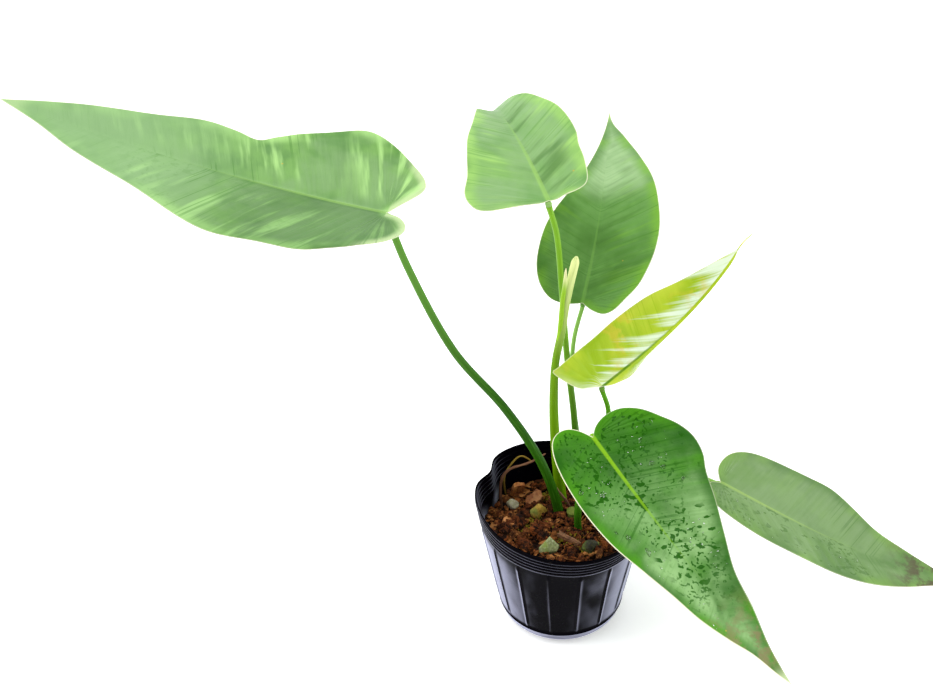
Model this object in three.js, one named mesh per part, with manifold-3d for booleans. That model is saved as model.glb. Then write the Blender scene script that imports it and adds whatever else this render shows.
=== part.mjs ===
// A potted aroid with long arrow-shaped leaves, standing in a soft black nursery pot.
// Millimetres, +Z up. The origin is the middle of the pot's foot ring, on the surface it stands on.
// Seen from -Y, the largest leaf reaches to the left and the two lowest ones hang over the rim to the right.
import * as THREE from 'three';
import { mergeVertices } from 'three/addons/utils/BufferGeometryUtils.js';
import Module from 'manifold-3d';

const wasm = await Module();
wasm.setup();

// Driving dimensions of the pot.
const POT_HEIGHT = 90;
const POT_FOOT_RADIUS = 37.2;
const POT_TAPER = 0.169; // radius gained per millimetre of height
const POT_WALL = 1.1;
const RIB_COUNT = 16;
const RIB_PHASE = 9; // degrees
const RIB_HALF_ANGLE = 1.7; // degrees
const RIB_HEIGHT = 0.7;
const RIB_BOTTOM = 12;
const RIB_TOP = 74;
const RING_COUNT = 5;
const RING_PITCH = 2.8;
const RING_HEIGHT = 0.55;
const RIM_TILT = 6.5; // how far the soft rim has sagged on the +X side and risen on the other
const DENT_ANGLE = 153; // degrees from +X, where the soft wall is pushed in
const DENT_HALF_ANGLE = 11;
const DENT_SHARE = 0.1;
const FOOT_RECESS = 1.2;
const FOOT_RING = [25.5, 30]; // inner and outer radius
const FOOT_BOSS = 7; // radius of the flat pad in the middle of the underside
const DRAIN_RADIUS = 3.8;
const DRAIN_CIRCLE = 16;
const DRAIN_COUNT = 6;

// Driving dimensions of the soil.
const SOIL_LEVEL = 73;
const SOIL_SLOPE = -0.2; // height lost per millimetre towards the back
const SOIL_RELIEF = 2.2;
const SOIL_CLOD = 11;
const SOIL_GAP = 0.8; // between the soil and the pot, which flex differently
const SEAT_GAP = 0.35; // between touching pieces

// Driving dimensions of the leaves.
const BLADE_THICKNESS = 0.9;
const LOBE_ROWS = 8; // rows that fan out from the petiole
const SPINE_ROWS = 14; // rows that start farther along the midrib
const COLUMN_SHARES = [0, 0.14, 0.5, 1]; // from the midrib to the edge
const VEIN_LEAD = 0.5; // how far a side vein runs forward for each unit that it runs outward
const FOLD_ROUND = 3; // distance from the midrib in which a half bends to its full fold
const LOBE_BEND = 42; // half width in millimetres at which a wave has its full height
const MIDRIB_RADII = [1.6, 0.5];
const KNOB_RADIUS = 1; // how much wider the swelling under a blade is than its petiole
const PETIOLE_DEPTH = 2.4; // how far under the blade's middle surface the petiole ends

// Driving dimensions of the stem.
const STEM_PLACE = [7.5, 2.5];
const STEM_RADIUS = 5;
const STEM_BOTTOM = 50;
const STEM_TOP = 77;

// Flat breaks on a stone, and how far from its middle they lie, in shares of its half size.
const STONE_BREAKS = 8;
const STONE_BREAK_AT = 0.74;

const GREENS = {
  mature: 0x4f9a2e,
  young: 0x9ccb32,
  petiole: 0x2f7d1c,
  shoot: 0x8fb53a,
};

const vec = (x, y, z) => new THREE.Vector3(x, y, z);
const radians = THREE.MathUtils.degToRad;

// A repeatable number from 0 to 1 for two whole numbers and a seed.
function chance(i, j, seed) {
  let h = (i * 374761393 + j * 668265263 + seed * 1442695041) | 0;
  h = Math.imul(h ^ (h >>> 13), 1274126177);
  return ((h ^ (h >>> 16)) >>> 0) / 4294967296;
}

// Smooth noise from 0 to 1 over the plane, one cell to the unit.
function noise(x, y, seed) {
  const i = Math.floor(x);
  const j = Math.floor(y);
  const fx = THREE.MathUtils.smoothstep(x - i, 0, 1);
  const fy = THREE.MathUtils.smoothstep(y - j, 0, 1);
  const near = THREE.MathUtils.lerp(chance(i, j, seed), chance(i + 1, j, seed), fx);
  const far = THREE.MathUtils.lerp(chance(i, j + 1, seed), chance(i + 1, j + 1, seed), fx);
  return THREE.MathUtils.lerp(near, far, fy);
}

function geometryOf(points, triangles) {
  const geometry = new THREE.BufferGeometry();
  const numbers = points.flatMap((p) => p.toArray());
  geometry.setAttribute('position', new THREE.Float32BufferAttribute(numbers, 3));
  geometry.setIndex(triangles);
  geometry.computeVertexNormals();
  return geometry;
}

function toSolid(geometry) {
  const bare = new THREE.BufferGeometry();
  bare.setAttribute('position', geometry.getAttribute('position'));
  if (geometry.index) bare.setIndex(geometry.index);
  const merged = mergeVertices(bare, 1e-4);
  return new wasm.Manifold(
    new wasm.Mesh({
      numProp: 3,
      vertProperties: new Float32Array(merged.getAttribute('position').array),
      triVerts: new Uint32Array(merged.index.array),
    }),
  );
}

function toGeometry(solid) {
  const mesh = solid.getMesh();
  const geometry = new THREE.BufferGeometry();
  geometry.setAttribute('position', new THREE.BufferAttribute(new Float32Array(mesh.vertProperties), 3));
  geometry.setIndex(new THREE.BufferAttribute(new Uint32Array(mesh.triVerts), 1));
  geometry.computeVertexNormals();
  return geometry;
}

// A closed body through rings of equal count, closed at each end by a single point.
function closedLoft(start, rings, end) {
  const count = rings[0].length;
  const points = [start, ...rings.flat(), end];
  const last = points.length - 1;
  const at = (ring, k) => 1 + ring * count + (k % count);
  const triangles = [];
  for (let k = 0; k < count; k += 1) {
    triangles.push(0, at(0, k + 1), at(0, k));
    for (let ring = 0; ring < rings.length - 1; ring += 1) {
      triangles.push(at(ring, k), at(ring, k + 1), at(ring + 1, k + 1));
      triangles.push(at(ring, k), at(ring + 1, k + 1), at(ring + 1, k));
    }
    triangles.push(at(rings.length - 1, k), at(rings.length - 1, k + 1), last);
  }
  return geometryOf(points, triangles);
}

// A tube along a curve whose radius changes on the way. The ends can reach past the curve by a given amount.
function taperedTube(curve, radiusAt, sides, steps, reach = 0) {
  const frames = curve.computeFrenetFrames(steps, false);
  const rings = [];
  const middles = [];
  for (let i = 0; i <= steps; i += 1) {
    const past = i === 0 ? -reach : i === steps ? reach : 0;
    const middle = curve.getPointAt(i / steps).addScaledVector(frames.tangents[i], past);
    const radius = radiusAt(i / steps);
    const ring = [];
    for (let k = 0; k < sides; k += 1) {
      const angle = (2 * Math.PI * k) / sides;
      ring.push(
        middle
          .clone()
          .addScaledVector(frames.normals[i], radius * Math.cos(angle))
          .addScaledVector(frames.binormals[i], radius * Math.sin(angle)),
      );
    }
    rings.push(ring);
    middles.push(middle);
  }
  return closedLoft(middles[0], rings, middles[steps]);
}

const bezier = (points) => new THREE.CubicBezierCurve3(...points.map((p) => vec(...p)));
const smooth = (points) => new THREE.CatmullRomCurve3(points.map((p) => vec(...p)));

// The pot. Angles are in degrees from +X.
function potAngles() {
  const angles = [];
  for (let k = 0; k < RIB_COUNT; k += 1) {
    const middle = RIB_PHASE + (360 / RIB_COUNT) * k;
    angles.push({ angle: middle - RIB_HALF_ANGLE, rib: 0 });
    angles.push({ angle: middle, rib: 1 });
    angles.push({ angle: middle + RIB_HALF_ANGLE, rib: 0 });
    angles.push({ angle: middle + 180 / RIB_COUNT, rib: 0 });
  }
  return angles;
}

// How far the soft wall has moved from round, as a share of its radius.
function potShape(angle, z) {
  const height = THREE.MathUtils.clamp(z / POT_HEIGHT, 0, 1);
  const turn = ((angle - DENT_ANGLE + 540) % 360) - 180;
  const dent = DENT_SHARE * Math.exp(-((turn / DENT_HALF_ANGLE) ** 2));
  const oval = 0.012 * Math.cos(radians(2 * (angle - 100)));
  return 1 + (oval - dent) * height * height;
}

const wallRadius = (z) => POT_FOOT_RADIUS + POT_TAPER * z;

function potPoint(angle, radius, z) {
  const r = radius * potShape(angle, z);
  const a = radians(angle);
  const lift = -RIM_TILT * Math.cos(a) * (z / POT_HEIGHT) ** 3;
  return vec(r * Math.cos(a), r * Math.sin(a), z + lift);
}

function potProfile() {
  const rows = [
    { radius: FOOT_BOSS, z: 0 },
    { radius: FOOT_BOSS + 1.5, z: FOOT_RECESS },
    { radius: FOOT_RING[0] - 1.5, z: FOOT_RECESS },
    { radius: FOOT_RING[0], z: 0 },
    { radius: FOOT_RING[1], z: 0 },
    { radius: 34.4, z: 1.5 },
    { radius: 37.2, z: 4.6 },
    { radius: wallRadius(9), z: 9 },
    { radius: wallRadius(10.5) + 0.7, z: 10.5 },
    { radius: wallRadius(RIB_BOTTOM), z: RIB_BOTTOM },
    { radius: wallRadius(RIB_BOTTOM + 3), z: RIB_BOTTOM + 3, rib: 1 },
    { radius: wallRadius(43), z: 43, rib: 1 },
    { radius: wallRadius(RIB_TOP - 2), z: RIB_TOP - 2, rib: 1 },
  ];
  for (let k = 0; k < RING_COUNT; k += 1) {
    const z = RIB_TOP + 1 + RING_PITCH * k;
    rows.push({ radius: wallRadius(z), z });
    rows.push({ radius: wallRadius(z + 1.4) + RING_HEIGHT, z: z + 1.4 });
  }
  rows.push({ radius: wallRadius(POT_HEIGHT - 0.8) + 0.2, z: POT_HEIGHT - 0.8 });
  rows.push({ radius: wallRadius(POT_HEIGHT) - 0.1, z: POT_HEIGHT });
  for (const z of [POT_HEIGHT, 75, 43, RIB_BOTTOM]) {
    rows.push({ radius: wallRadius(z) - POT_WALL, z });
  }
  rows.push({ radius: 36, z: 5.4 });
  rows.push({ radius: 33.6, z: 2.6 });
  rows.push({ radius: FOOT_RING[0] - 1.5, z: FOOT_RECESS + POT_WALL });
  return rows;
}

function makePot() {
  const angles = potAngles();
  const rings = potProfile().map((row) =>
    angles.map(({ angle, rib }) => potPoint(angle, row.radius + RIB_HEIGHT * rib * (row.rib ?? 0), row.z)),
  );
  let pot = toSolid(closedLoft(vec(0, 0, 0), rings, vec(0, 0, FOOT_RECESS + POT_WALL)));
  for (let k = 0; k < DRAIN_COUNT; k += 1) {
    const a = (2 * Math.PI * k) / DRAIN_COUNT;
    const drain = new THREE.CylinderGeometry(DRAIN_RADIUS, DRAIN_RADIUS, 10, 14).rotateX(Math.PI / 2);
    drain.translate(DRAIN_CIRCLE * Math.cos(a), DRAIN_CIRCLE * Math.sin(a), 2);
    pot = pot.subtract(toSolid(drain));
  }
  return pot;
}

// The soil, a crumbly mass that slopes up to the front of the pot.
function soilHeight(x, y) {
  const coarse = noise(x / SOIL_CLOD + 20, y / SOIL_CLOD + 20, 3) - 0.5;
  const fine = noise(x / (0.45 * SOIL_CLOD) + 50, y / (0.45 * SOIL_CLOD) + 50, 5) - 0.5;
  return SOIL_LEVEL + SOIL_SLOPE * y + SOIL_RELIEF * (2 * coarse + fine);
}

function soilEdge(angle, z) {
  const r = (wallRadius(z) - POT_WALL) * potShape(angle, z) - SOIL_GAP;
  const a = radians(angle);
  return vec(r * Math.cos(a), r * Math.sin(a), z);
}

function soilBody() {
  const floor = FOOT_RECESS + POT_WALL + SOIL_GAP;
  const angles = potAngles().filter((_, k) => k % 2 === 1);
  const rings = [];
  rings.push(angles.map(({ angle }) => vec(0, 31, floor).applyAxisAngle(vec(0, 0, 1), radians(angle - 90))));
  rings.push(angles.map(({ angle }) => soilEdge(angle, 9).multiply(vec(0.965, 0.965, 1))));
  for (const z of [35, 52, 64]) rings.push(angles.map(({ angle }) => soilEdge(angle, z)));
  const top = angles.map(({ angle }) => {
    const rough = soilEdge(angle, SOIL_LEVEL);
    const level = SOIL_LEVEL + SOIL_SLOPE * rough.y;
    return soilEdge(angle, THREE.MathUtils.lerp(level, soilHeight(rough.x, rough.y), 0.4));
  });
  rings.push(top);
  const ringCount = 8;
  for (let ring = 1; ring < ringCount; ring += 1) {
    const share = 1 - ring / ringCount;
    rings.push(
      top.map((edge) => {
        const x = edge.x * share;
        const y = edge.y * share;
        return vec(x, y, soilHeight(x, y));
      }),
    );
  }
  return toSolid(closedLoft(vec(0, 0, floor), rings, vec(0, 0, soilHeight(0, 0))));
}

// Petioles run from the soil to their blades. The first radius of each pair is at the soil, and the last
// point of a path is where the blade's midrib starts.
const PETIOLES = {
  left: {
    path: [
      [0, 7, 60], [-2, 6, 81], [-12, 6, 117], [-32, 6, 159], [-59, 6, 202], [-81, 6, 260], [-90, 5, 297],
    ],
    radii: [3.5, 2.0],
  },
  top: {
    path: [[11, 27, 56], [11, 27, 122], [6, 28, 178], [3, 28, 225], [0, 25, 264], [-5, 18, 291]],
    radii: [2.7, 1.6],
  },
  back: {
    path: [[18, 34, 55], [13, 35, 112], [10, 39, 143], [12, 48, 174], [18, 60, 192]],
    radii: [2.2, 1.3],
  },
  young: {
    path: [[16, 8, 60], [22, 6, 100], [27, 4, 140], [28, 4, 155], [24, 2, 174.7]],
    radii: [2.3, 1.4],
  },
  front: { path: [[10, -12, 62], [9, -15, 95], [12, -18, 130], [17, -16, 153]], radii: [2.6, 1.9] },
  low: { path: [[17, -7, 62], [27, -8, 90], [50, -5, 105], [78, 1, 103], [98, 6, 91]], radii: [2.4, 1.7] },
};
const SHOOT_PATH = [
  [3, 18, 58], [-1, 18, 109], [-2.4, 18, 138], [-2.4, 18, 163], [-1.4, 18, 182], [2, 18, 203.4],
  [4.8, 18, 225.6], [10.1, 18, 254.3],
];
const SHOOT_RADII = [3.8, 2.4];
const SPEAR_PATH = [
  [-0.5, 18, 188], [1, 17, 205.6], [1.7, 16, 216.9], [2.3, 15.1, 227.8], [3.3, 14.6, 237], [4.1, 14.4, 249.6],
];
const SPEAR_RADII = [1.45, 0.4];

// The leaf blades. The midrib is a Bezier curve from the petiole to the tip. An outline is in shares of the
// midrib's length: along it, and out from it to the left or right of someone looking from the petiole to
// the tip with the upper face up. faces are the upper face's directions at the petiole and at the tip. folds
// are how many degrees each half rises from level, never zero, at the petiole and at the tip, and a fold
// pace below 1 reaches the second value sooner. A wave is its height in millimetres, its count along the
// blade and its start. A thread is the long fine end of a young tip.
const BLADES = {
  left: {
    midrib: [[-90, 5, 297], [-141, 25, 299], [-216, 48, 313], [-292, 60, 346]],
    faces: [[0.2, 0, 1], [0.2, -0.2, 1]],
    folds: { left: [5, 5], right: [10, 10] },
    waves: { left: [1, 2.5, 0.6], right: [1.3, 2.6, 0.8] },
    left: [
      [-0.05, 0.012], [-0.09, 0.05], [-0.1, 0.1], [-0.07, 0.153], [0, 0.19], [0.08, 0.218],
      [0.17, 0.26], [0.27, 0.268], [0.4, 0.25], [0.52, 0.212], [0.66, 0.15], [0.8, 0.092],
      [0.91, 0.034],
    ],
    right: [
      [-0.035, 0.05], [-0.07, 0.105], [-0.06, 0.145], [-0.01, 0.19], [0.08, 0.244], [0.17, 0.268],
      [0.25, 0.252], [0.34, 0.218], [0.4, 0.176], [0.44, 0.144], [0.5, 0.15], [0.58, 0.15],
      [0.68, 0.125], [0.8, 0.09], [0.91, 0.045],
    ],
  },
  top: {
    midrib: [[-5, 18, 291], [-14, 62, 296], [-33, 131, 314], [-34, 168, 246]],
    faces: [[0, -0.1, 1], [0, 0.3, 1]],
    folds: { left: [4, 21], right: [21, 39] },
    waves: { left: [1, 3.2, 0.2], right: [1.4, 4.2, 0.5] },
    left: [
      [-0.01, 0.029], [-0.01, 0.09], [-0.02, 0.155], [-0.02, 0.2], [0, 0.231], [0.05, 0.248],
      [0.11, 0.245], [0.19, 0.218], [0.28, 0.197], [0.38, 0.169], [0.51, 0.116], [0.65, 0.072],
      [0.8, 0.045], [0.91, 0.028],
    ],
    right: [
      [-0.01, 0.028], [-0.005, 0.062], [-0.01, 0.092], [0, 0.124], [0.04, 0.144], [0.12, 0.158],
      [0.19, 0.162], [0.25, 0.176], [0.31, 0.18], [0.38, 0.173], [0.46, 0.158], [0.56, 0.134],
      [0.67, 0.103], [0.79, 0.072], [0.9, 0.034],
    ],
  },
  back: {
    midrib: [[18, 60, 192], [28, 90, 206], [40, 134, 224], [56, 257, 212]],
    faces: [[-0.1, -0.1, 1], [0.1, -0.1, 1]],
    folds: { left: [18, 18], right: [18, 18] },
    waves: { left: [1.5, 1.5, 0.3], right: [2, 1.8, 0.1] },
    left: [
      [-0.03, 0.05], [-0.02, 0.096], [0.05, 0.134], [0.15, 0.157], [0.26, 0.165], [0.37, 0.16],
      [0.47, 0.14], [0.57, 0.108], [0.7, 0.065], [0.82, 0.032], [0.92, 0.011],
    ],
    right: [
      [-0.05, 0.035], [-0.08, 0.075], [-0.06, 0.108], [0.01, 0.14], [0.09, 0.172], [0.19, 0.188],
      [0.3, 0.197], [0.42, 0.197], [0.54, 0.181], [0.65, 0.155], [0.76, 0.112], [0.86, 0.062],
      [0.94, 0.016],
    ],
  },
  young: {
    midrib: [[24, 2, 174.7], [51, 28, 176.7], [87.5, 58.5, 183], [112.8, 76.8, 214.3]],
    faces: [[-0.1, -0.3, 0.9], [-0.1, -0.3, 0.9]],
    folds: { left: [25, 25], right: [-60, -170] },
    foldPace: 0.7,
    waves: { left: [1.2, 2, 0.2], right: [1, 2, 0.4] },
    left: [
      [-0.03, 0.02], [-0.1, 0.052], [-0.14, 0.106], [-0.17, 0.19], [-0.12, 0.195], [0, 0.199],
      [0.14, 0.203], [0.29, 0.21], [0.44, 0.2], [0.56, 0.179], [0.69, 0.136], [0.81, 0.092],
      [0.92, 0.043],
    ],
    right: [
      [0.03, 0.014], [0.08, 0.032], [0.13, 0.052], [0.18, 0.08], [0.24, 0.117], [0.3, 0.155],
      [0.37, 0.18], [0.48, 0.16], [0.65, 0.112], [0.8, 0.066], [0.91, 0.025],
    ],
    thread: [[112, 76.2, 213.3], [124.2, 92.9, 213]],
  },
  front: {
    midrib: [[17, -16, 153], [38, -44, 133], [72, -91, 103], [111, -142, 82]],
    faces: [[-0.1, -0.6, 0.8], [0.1, -0.4, 0.9]],
    folds: { left: [4, 4], right: [24, 20] },
    waves: { left: [1.5, 2, 0.6], right: [1.5, 2.2, 0.1] },
    left: [
      [-0.035, 0.03], [-0.05, 0.075], [-0.035, 0.13], [0.02, 0.182], [0.1, 0.224], [0.17, 0.255],
      [0.24, 0.268], [0.31, 0.258], [0.37, 0.23], [0.46, 0.2], [0.56, 0.155], [0.67, 0.101],
      [0.78, 0.07], [0.88, 0.032], [0.95, 0.012],
    ],
    right: [
      [-0.055, 0.025], [-0.095, 0.06], [-0.1, 0.104], [-0.065, 0.142], [0.02, 0.17], [0.14, 0.189],
      [0.27, 0.195], [0.4, 0.187], [0.52, 0.158], [0.62, 0.13], [0.72, 0.106], [0.81, 0.07],
      [0.88, 0.035], [0.95, 0.016],
    ],
  },
  low: {
    midrib: [[98, 6, 91], [141, -4, 66], [190, -15, 35], [247, -28, 24]],
    faces: [[0.4, -0.1, 0.9], [0.4, -0.1, 0.9]],
    folds: { left: [10, 10], right: [10, 10] },
    waves: { left: [1.2, 1.6, 0.2], right: [1.2, 1.8, 0.7] },
    left: [
      [-0.02, 0.05], [-0.01, 0.1], [0.02, 0.145], [0.07, 0.18], [0.14, 0.206], [0.24, 0.224],
      [0.36, 0.234], [0.47, 0.226], [0.57, 0.182], [0.67, 0.124], [0.79, 0.084], [0.9, 0.045],
    ],
    right: [
      [-0.05, 0.035], [-0.05, 0.09], [-0.02, 0.15], [0.07, 0.187], [0.19, 0.208], [0.3, 0.214],
      [0.42, 0.207], [0.55, 0.19], [0.67, 0.158], [0.78, 0.11], [0.9, 0.042],
    ],
  },
};

// Places points on a blade: u along the midrib in shares of its length, w out from it in millimetres.
function bladeSurface(blade) {
  const curve = bezier(blade.midrib);
  const length = curve.getLength();
  const faces = blade.faces.map((face) => vec(...face).normalize());
  const backward = vec(...blade.midrib[0]).sub(vec(...blade.midrib[1])).multiplyScalar(3);
  const frameAt = (u) => {
    const share = THREE.MathUtils.clamp(u, 0, 1);
    const along = curve.getTangent(share);
    const up = faces[0].clone().lerp(faces[1], share);
    up.addScaledVector(along, -up.dot(along)).normalize();
    return { share, along, up, left: up.clone().cross(along) };
  };
  const middleAt = (u) => (u < 0 ? curve.getPoint(0).addScaledVector(backward, -u) : curve.getPoint(u));
  const pointAt = (u, side, w) => {
    const { share, up, left } = frameAt(u);
    const [foldStart, foldEnd] = blade.folds[side];
    const fold = radians(THREE.MathUtils.lerp(foldStart, foldEnd, share ** (blade.foldPace ?? 1)));
    const bent = Math.min(w, FOLD_ROUND);
    const turned = (fold * bent) / FOLD_ROUND;
    const out = (FOLD_ROUND / fold) * Math.sin(turned) + (w - bent) * Math.cos(fold);
    const rise = (FOLD_ROUND / fold) * (1 - Math.cos(turned)) + (w - bent) * Math.sin(fold);
    const [height, count, start] = blade.waves[side];
    const wave = height * (w / LOBE_BEND) ** 2 * Math.sin(2 * Math.PI * (count * u + start));
    return middleAt(u)
      .addScaledVector(left, side === 'left' ? out : -out)
      .addScaledVector(up, rise + wave);
  };
  return { length, frameAt, middleAt, pointAt };
}

// Where on an outline a vein that leaves the midrib at the given share of its length comes out.
function veinEnd(outline, root) {
  const lead = (s) => {
    const edge = outline.getPointAt(s);
    return edge.x - VEIN_LEAD * edge.y;
  };
  const step = 0.002;
  let s = 1;
  while (s > step && lead(s) > root) s -= step;
  return s;
}

// The shares of an outline's run at which the rows of one half meet it, from the petiole to the tip.
function rowEnds(outline) {
  const firstSpine = veinEnd(outline, 0);
  const ends = [];
  for (let row = 1; row <= LOBE_ROWS; row += 1) ends.push((firstSpine * row) / LOBE_ROWS);
  for (let row = 1; row < SPINE_ROWS; row += 1) ends.push(veinEnd(outline, row / SPINE_ROWS));
  return ends;
}

// The middle surface of a blade. Rows of points run from the midrib to the edge, as the side veins do.
function bladeMiddle(blade) {
  const { length, middleAt, pointAt } = bladeSurface(blade);
  const points = [];
  const triangles = [];
  const add = (point) => points.push(point) - 1;
  const spine = Array.from({ length: SPINE_ROWS + 1 }, (_, row) => add(middleAt(row / SPINE_ROWS)));
  const columns = COLUMN_SHARES.length;
  for (const side of ['left', 'right']) {
    const corners = [[0, 0], ...blade[side], [1, 0]];
    const outline = new THREE.SplineCurve(corners.map((p) => new THREE.Vector2(...p)));
    const ends = rowEnds(outline);
    const rows = ends.map((s, row) => {
      const root = Math.max(0, row + 1 - LOBE_ROWS);
      const edge = outline.getPointAt(s);
      return COLUMN_SHARES.map((share) => {
        if (share === 0) return spine[root];
        // The first row follows the outline itself, so the notch at the petiole keeps its form.
        const spot = row === 0 ? outline.getPointAt(s * share) : edge.clone().multiplyScalar(share);
        const u = row === 0 ? spot.x : THREE.MathUtils.lerp(root / SPINE_ROWS, edge.x, share);
        return add(pointAt(u, side, spot.y * length));
      });
    });
    rows.push(Array(columns).fill(spine[SPINE_ROWS]));
    for (let row = 1; row < rows.length; row += 1) {
      for (let k = 1; k < columns; k += 1) {
        const [a, b, c, d] = [rows[row - 1][k - 1], rows[row][k - 1], rows[row][k], rows[row - 1][k]];
        for (const corners of [[a, b, c], [a, c, d]]) {
          if (new Set(corners).size === 3) triangles.push(side === 'left' ? corners : corners.reverse());
        }
      }
    }
  }
  return { points, triangles };
}

// Gives a middle surface its thickness: the same triangles on both faces, and a wall along every open edge.
function thicken({ points, triangles }, thickness) {
  const normals = points.map(() => vec(0, 0, 0));
  for (const [a, b, c] of triangles) {
    const normal = points[b].clone().sub(points[a]).cross(points[c].clone().sub(points[a]));
    for (const corner of [a, b, c]) normals[corner].add(normal);
  }
  for (const normal of normals) normal.normalize();
  const offset = (distance) => points.map((p, k) => p.clone().addScaledVector(normals[k], distance));
  const below = points.length;
  const faces = [];
  const edges = new Map();
  for (const [a, b, c] of triangles) {
    faces.push(a, b, c, below + a, below + c, below + b);
    for (const [from, to] of [[a, b], [b, c], [c, a]]) edges.set(`${from} ${to}`, [from, to]);
  }
  for (const [from, to] of edges.values()) {
    if (edges.has(`${to} ${from}`)) continue;
    faces.push(to, from, below + from, to, below + from, below + to);
  }
  return geometryOf([...offset(thickness / 2), ...offset(-thickness / 2)], faces);
}

// The midrib stands out under the blade and thins towards the tip.
function midribRidge(blade) {
  const { frameAt, middleAt } = bladeSurface(blade);
  const steps = 10;
  const sides = 6;
  const rings = [];
  const centres = [];
  for (let i = 0; i <= steps; i += 1) {
    const u = (0.94 * i) / steps;
    const { up, left } = frameAt(u);
    const radius = THREE.MathUtils.lerp(MIDRIB_RADII[0], MIDRIB_RADII[1], i / steps);
    const centre = middleAt(u).addScaledVector(up, 0.2 - radius);
    const ring = [];
    for (let k = 0; k < sides; k += 1) {
      const angle = (2 * Math.PI * (k + 0.5)) / sides;
      ring.push(
        centre
          .clone()
          .addScaledVector(left, radius * Math.cos(angle))
          .addScaledVector(up, radius * Math.sin(angle)),
      );
    }
    rings.push(ring);
    centres.push(centre);
  }
  return closedLoft(centres[0], rings, centres[steps]);
}

// The petiole ends a little under the blade, in a swelling at the start of the midrib.
function petioleEnd(name) {
  const { frameAt, middleAt } = bladeSurface(BLADES[name]);
  return middleAt(0).addScaledVector(frameAt(0).up, -PETIOLE_DEPTH);
}

function makePetiole(name, extra = 0) {
  const { path, radii } = PETIOLES[name];
  const curve = smooth([...path.slice(0, -1), petioleEnd(name).toArray()]);
  const radiusAt = (t) => THREE.MathUtils.lerp(radii[0], radii[1], Math.sqrt(t)) + extra;
  return toSolid(taperedTube(curve, radiusAt, 8, 15, extra));
}

function makeBlade(name) {
  const blade = BLADES[name];
  const { frameAt, middleAt } = bladeSurface(blade);
  const knobRadius = PETIOLES[name].radii[1] + KNOB_RADIUS;
  const knobCentre = middleAt(0).addScaledVector(frameAt(0).up, -0.5 * PETIOLE_DEPTH);
  const knob = new THREE.IcosahedronGeometry(knobRadius, 1).translate(...knobCentre);
  let solid = toSolid(thicken(bladeMiddle(blade), BLADE_THICKNESS));
  solid = solid.add(toSolid(midribRidge(blade)));
  solid = solid.add(toSolid(knob));
  if (blade.thread) {
    const thread = new THREE.LineCurve3(vec(...blade.thread[0]), vec(...blade.thread[1]));
    solid = solid.add(toSolid(taperedTube(thread, (t) => 0.55 - 0.15 * t, 5, 1)));
  }
  return solid.subtract(makePetiole(name, SEAT_GAP));
}

// The shoot: a sheath with a rounded tip, and the next leaf, still rolled, standing out of its open side.
function makeSpear(extra = 0) {
  const radiusAt = (t) => THREE.MathUtils.lerp(SPEAR_RADII[0], SPEAR_RADII[1], t ** 6) + extra;
  return toSolid(taperedTube(smooth(SPEAR_PATH), radiusAt, 8, 12, extra));
}

function sheathTube(extra = 0) {
  const radiusAt = (t) => {
    const body = THREE.MathUtils.lerp(SHOOT_RADII[0], SHOOT_RADII[1], Math.min(1, 1.6 * t));
    return body * Math.sqrt(Math.min(1, (1.004 - t) / 0.02)) + extra;
  };
  return toSolid(taperedTube(smooth(SHOOT_PATH), radiusAt, 10, 24, extra));
}

const makeSheath = () => sheathTube().subtract(makeSpear(SEAT_GAP));

// The short stem, almost buried, ringed by the scars of old leaves.
function makeStem(extra = 0) {
  const rings = [];
  const sides = 12;
  const levels = 7;
  for (let level = 0; level <= levels; level += 1) {
    const radius = STEM_RADIUS - 0.35 * level * 0.5 - (level % 2) * 0.6 + extra;
    const z = STEM_BOTTOM + ((STEM_TOP - STEM_BOTTOM) * level) / levels;
    rings.push(
      Array.from({ length: sides }, (_, k) => {
        const a = (2 * Math.PI * k) / sides;
        return vec(STEM_PLACE[0] + radius * Math.cos(a), STEM_PLACE[1] + radius * Math.sin(a), z);
      }),
    );
  }
  const bottom = vec(...STEM_PLACE, STEM_BOTTOM - 1.5 - extra);
  return toSolid(closedLoft(bottom, rings, vec(...STEM_PLACE, STEM_TOP + 1.5 + extra)));
}

// What lies on the soil. Stones and bark chips are sunk partly into it. A stone is a ball that flat breaks
// have cut, and its taper is the share of its width that it loses towards the top.
function makeStone({ at, size, seed, taper }, extra = 0) {
  const ball = new THREE.IcosahedronGeometry(1, 1).deleteAttribute('uv').deleteAttribute('normal');
  const geometry = mergeVertices(ball);
  const position = geometry.getAttribute('position');
  const breaks = Array.from({ length: STONE_BREAKS }, (_, k) =>
    vec(chance(k, seed, 21) - 0.5, chance(k, seed, 22) - 0.5, 0.8 * chance(k, seed, 23) - 0.3).normalize(),
  );
  for (let k = 0; k < position.count; k += 1) {
    const rough = 1 + 0.16 * chance(k, seed, 11);
    const spot = vec().fromBufferAttribute(position, k).multiplyScalar(rough);
    for (const direction of breaks) {
      spot.addScaledVector(direction, Math.min(0, STONE_BREAK_AT - spot.dot(direction)));
    }
    const narrow = 1 - taper * (0.5 + 0.5 * spot.z);
    spot.multiply(vec(narrow, narrow, 1)).multiply(vec(...size).addScalar(extra)).add(vec(...at));
    position.setXYZ(k, spot.x, spot.y, spot.z);
  }
  return toSolid(geometry);
}

function makeChip({ at, size, turn, seed }, extra = 0) {
  const box = new THREE.BoxGeometry(1, 1, 1, 3, 2, 1).deleteAttribute('uv').deleteAttribute('normal');
  const geometry = mergeVertices(box);
  const position = geometry.getAttribute('position');
  const turned = new THREE.Euler(...turn.map(radians));
  for (let k = 0; k < position.count; k += 1) {
    const spot = vec().fromBufferAttribute(position, k);
    spot.multiplyScalar(0.8 + 0.35 * chance(k, seed, 12));
    spot.multiply(vec(...size).addScalar(2.6 * extra)).applyEuler(turned).add(vec(...at));
    position.setXYZ(k, spot.x, spot.y, spot.z);
  }
  return toSolid(geometry);
}

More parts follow.
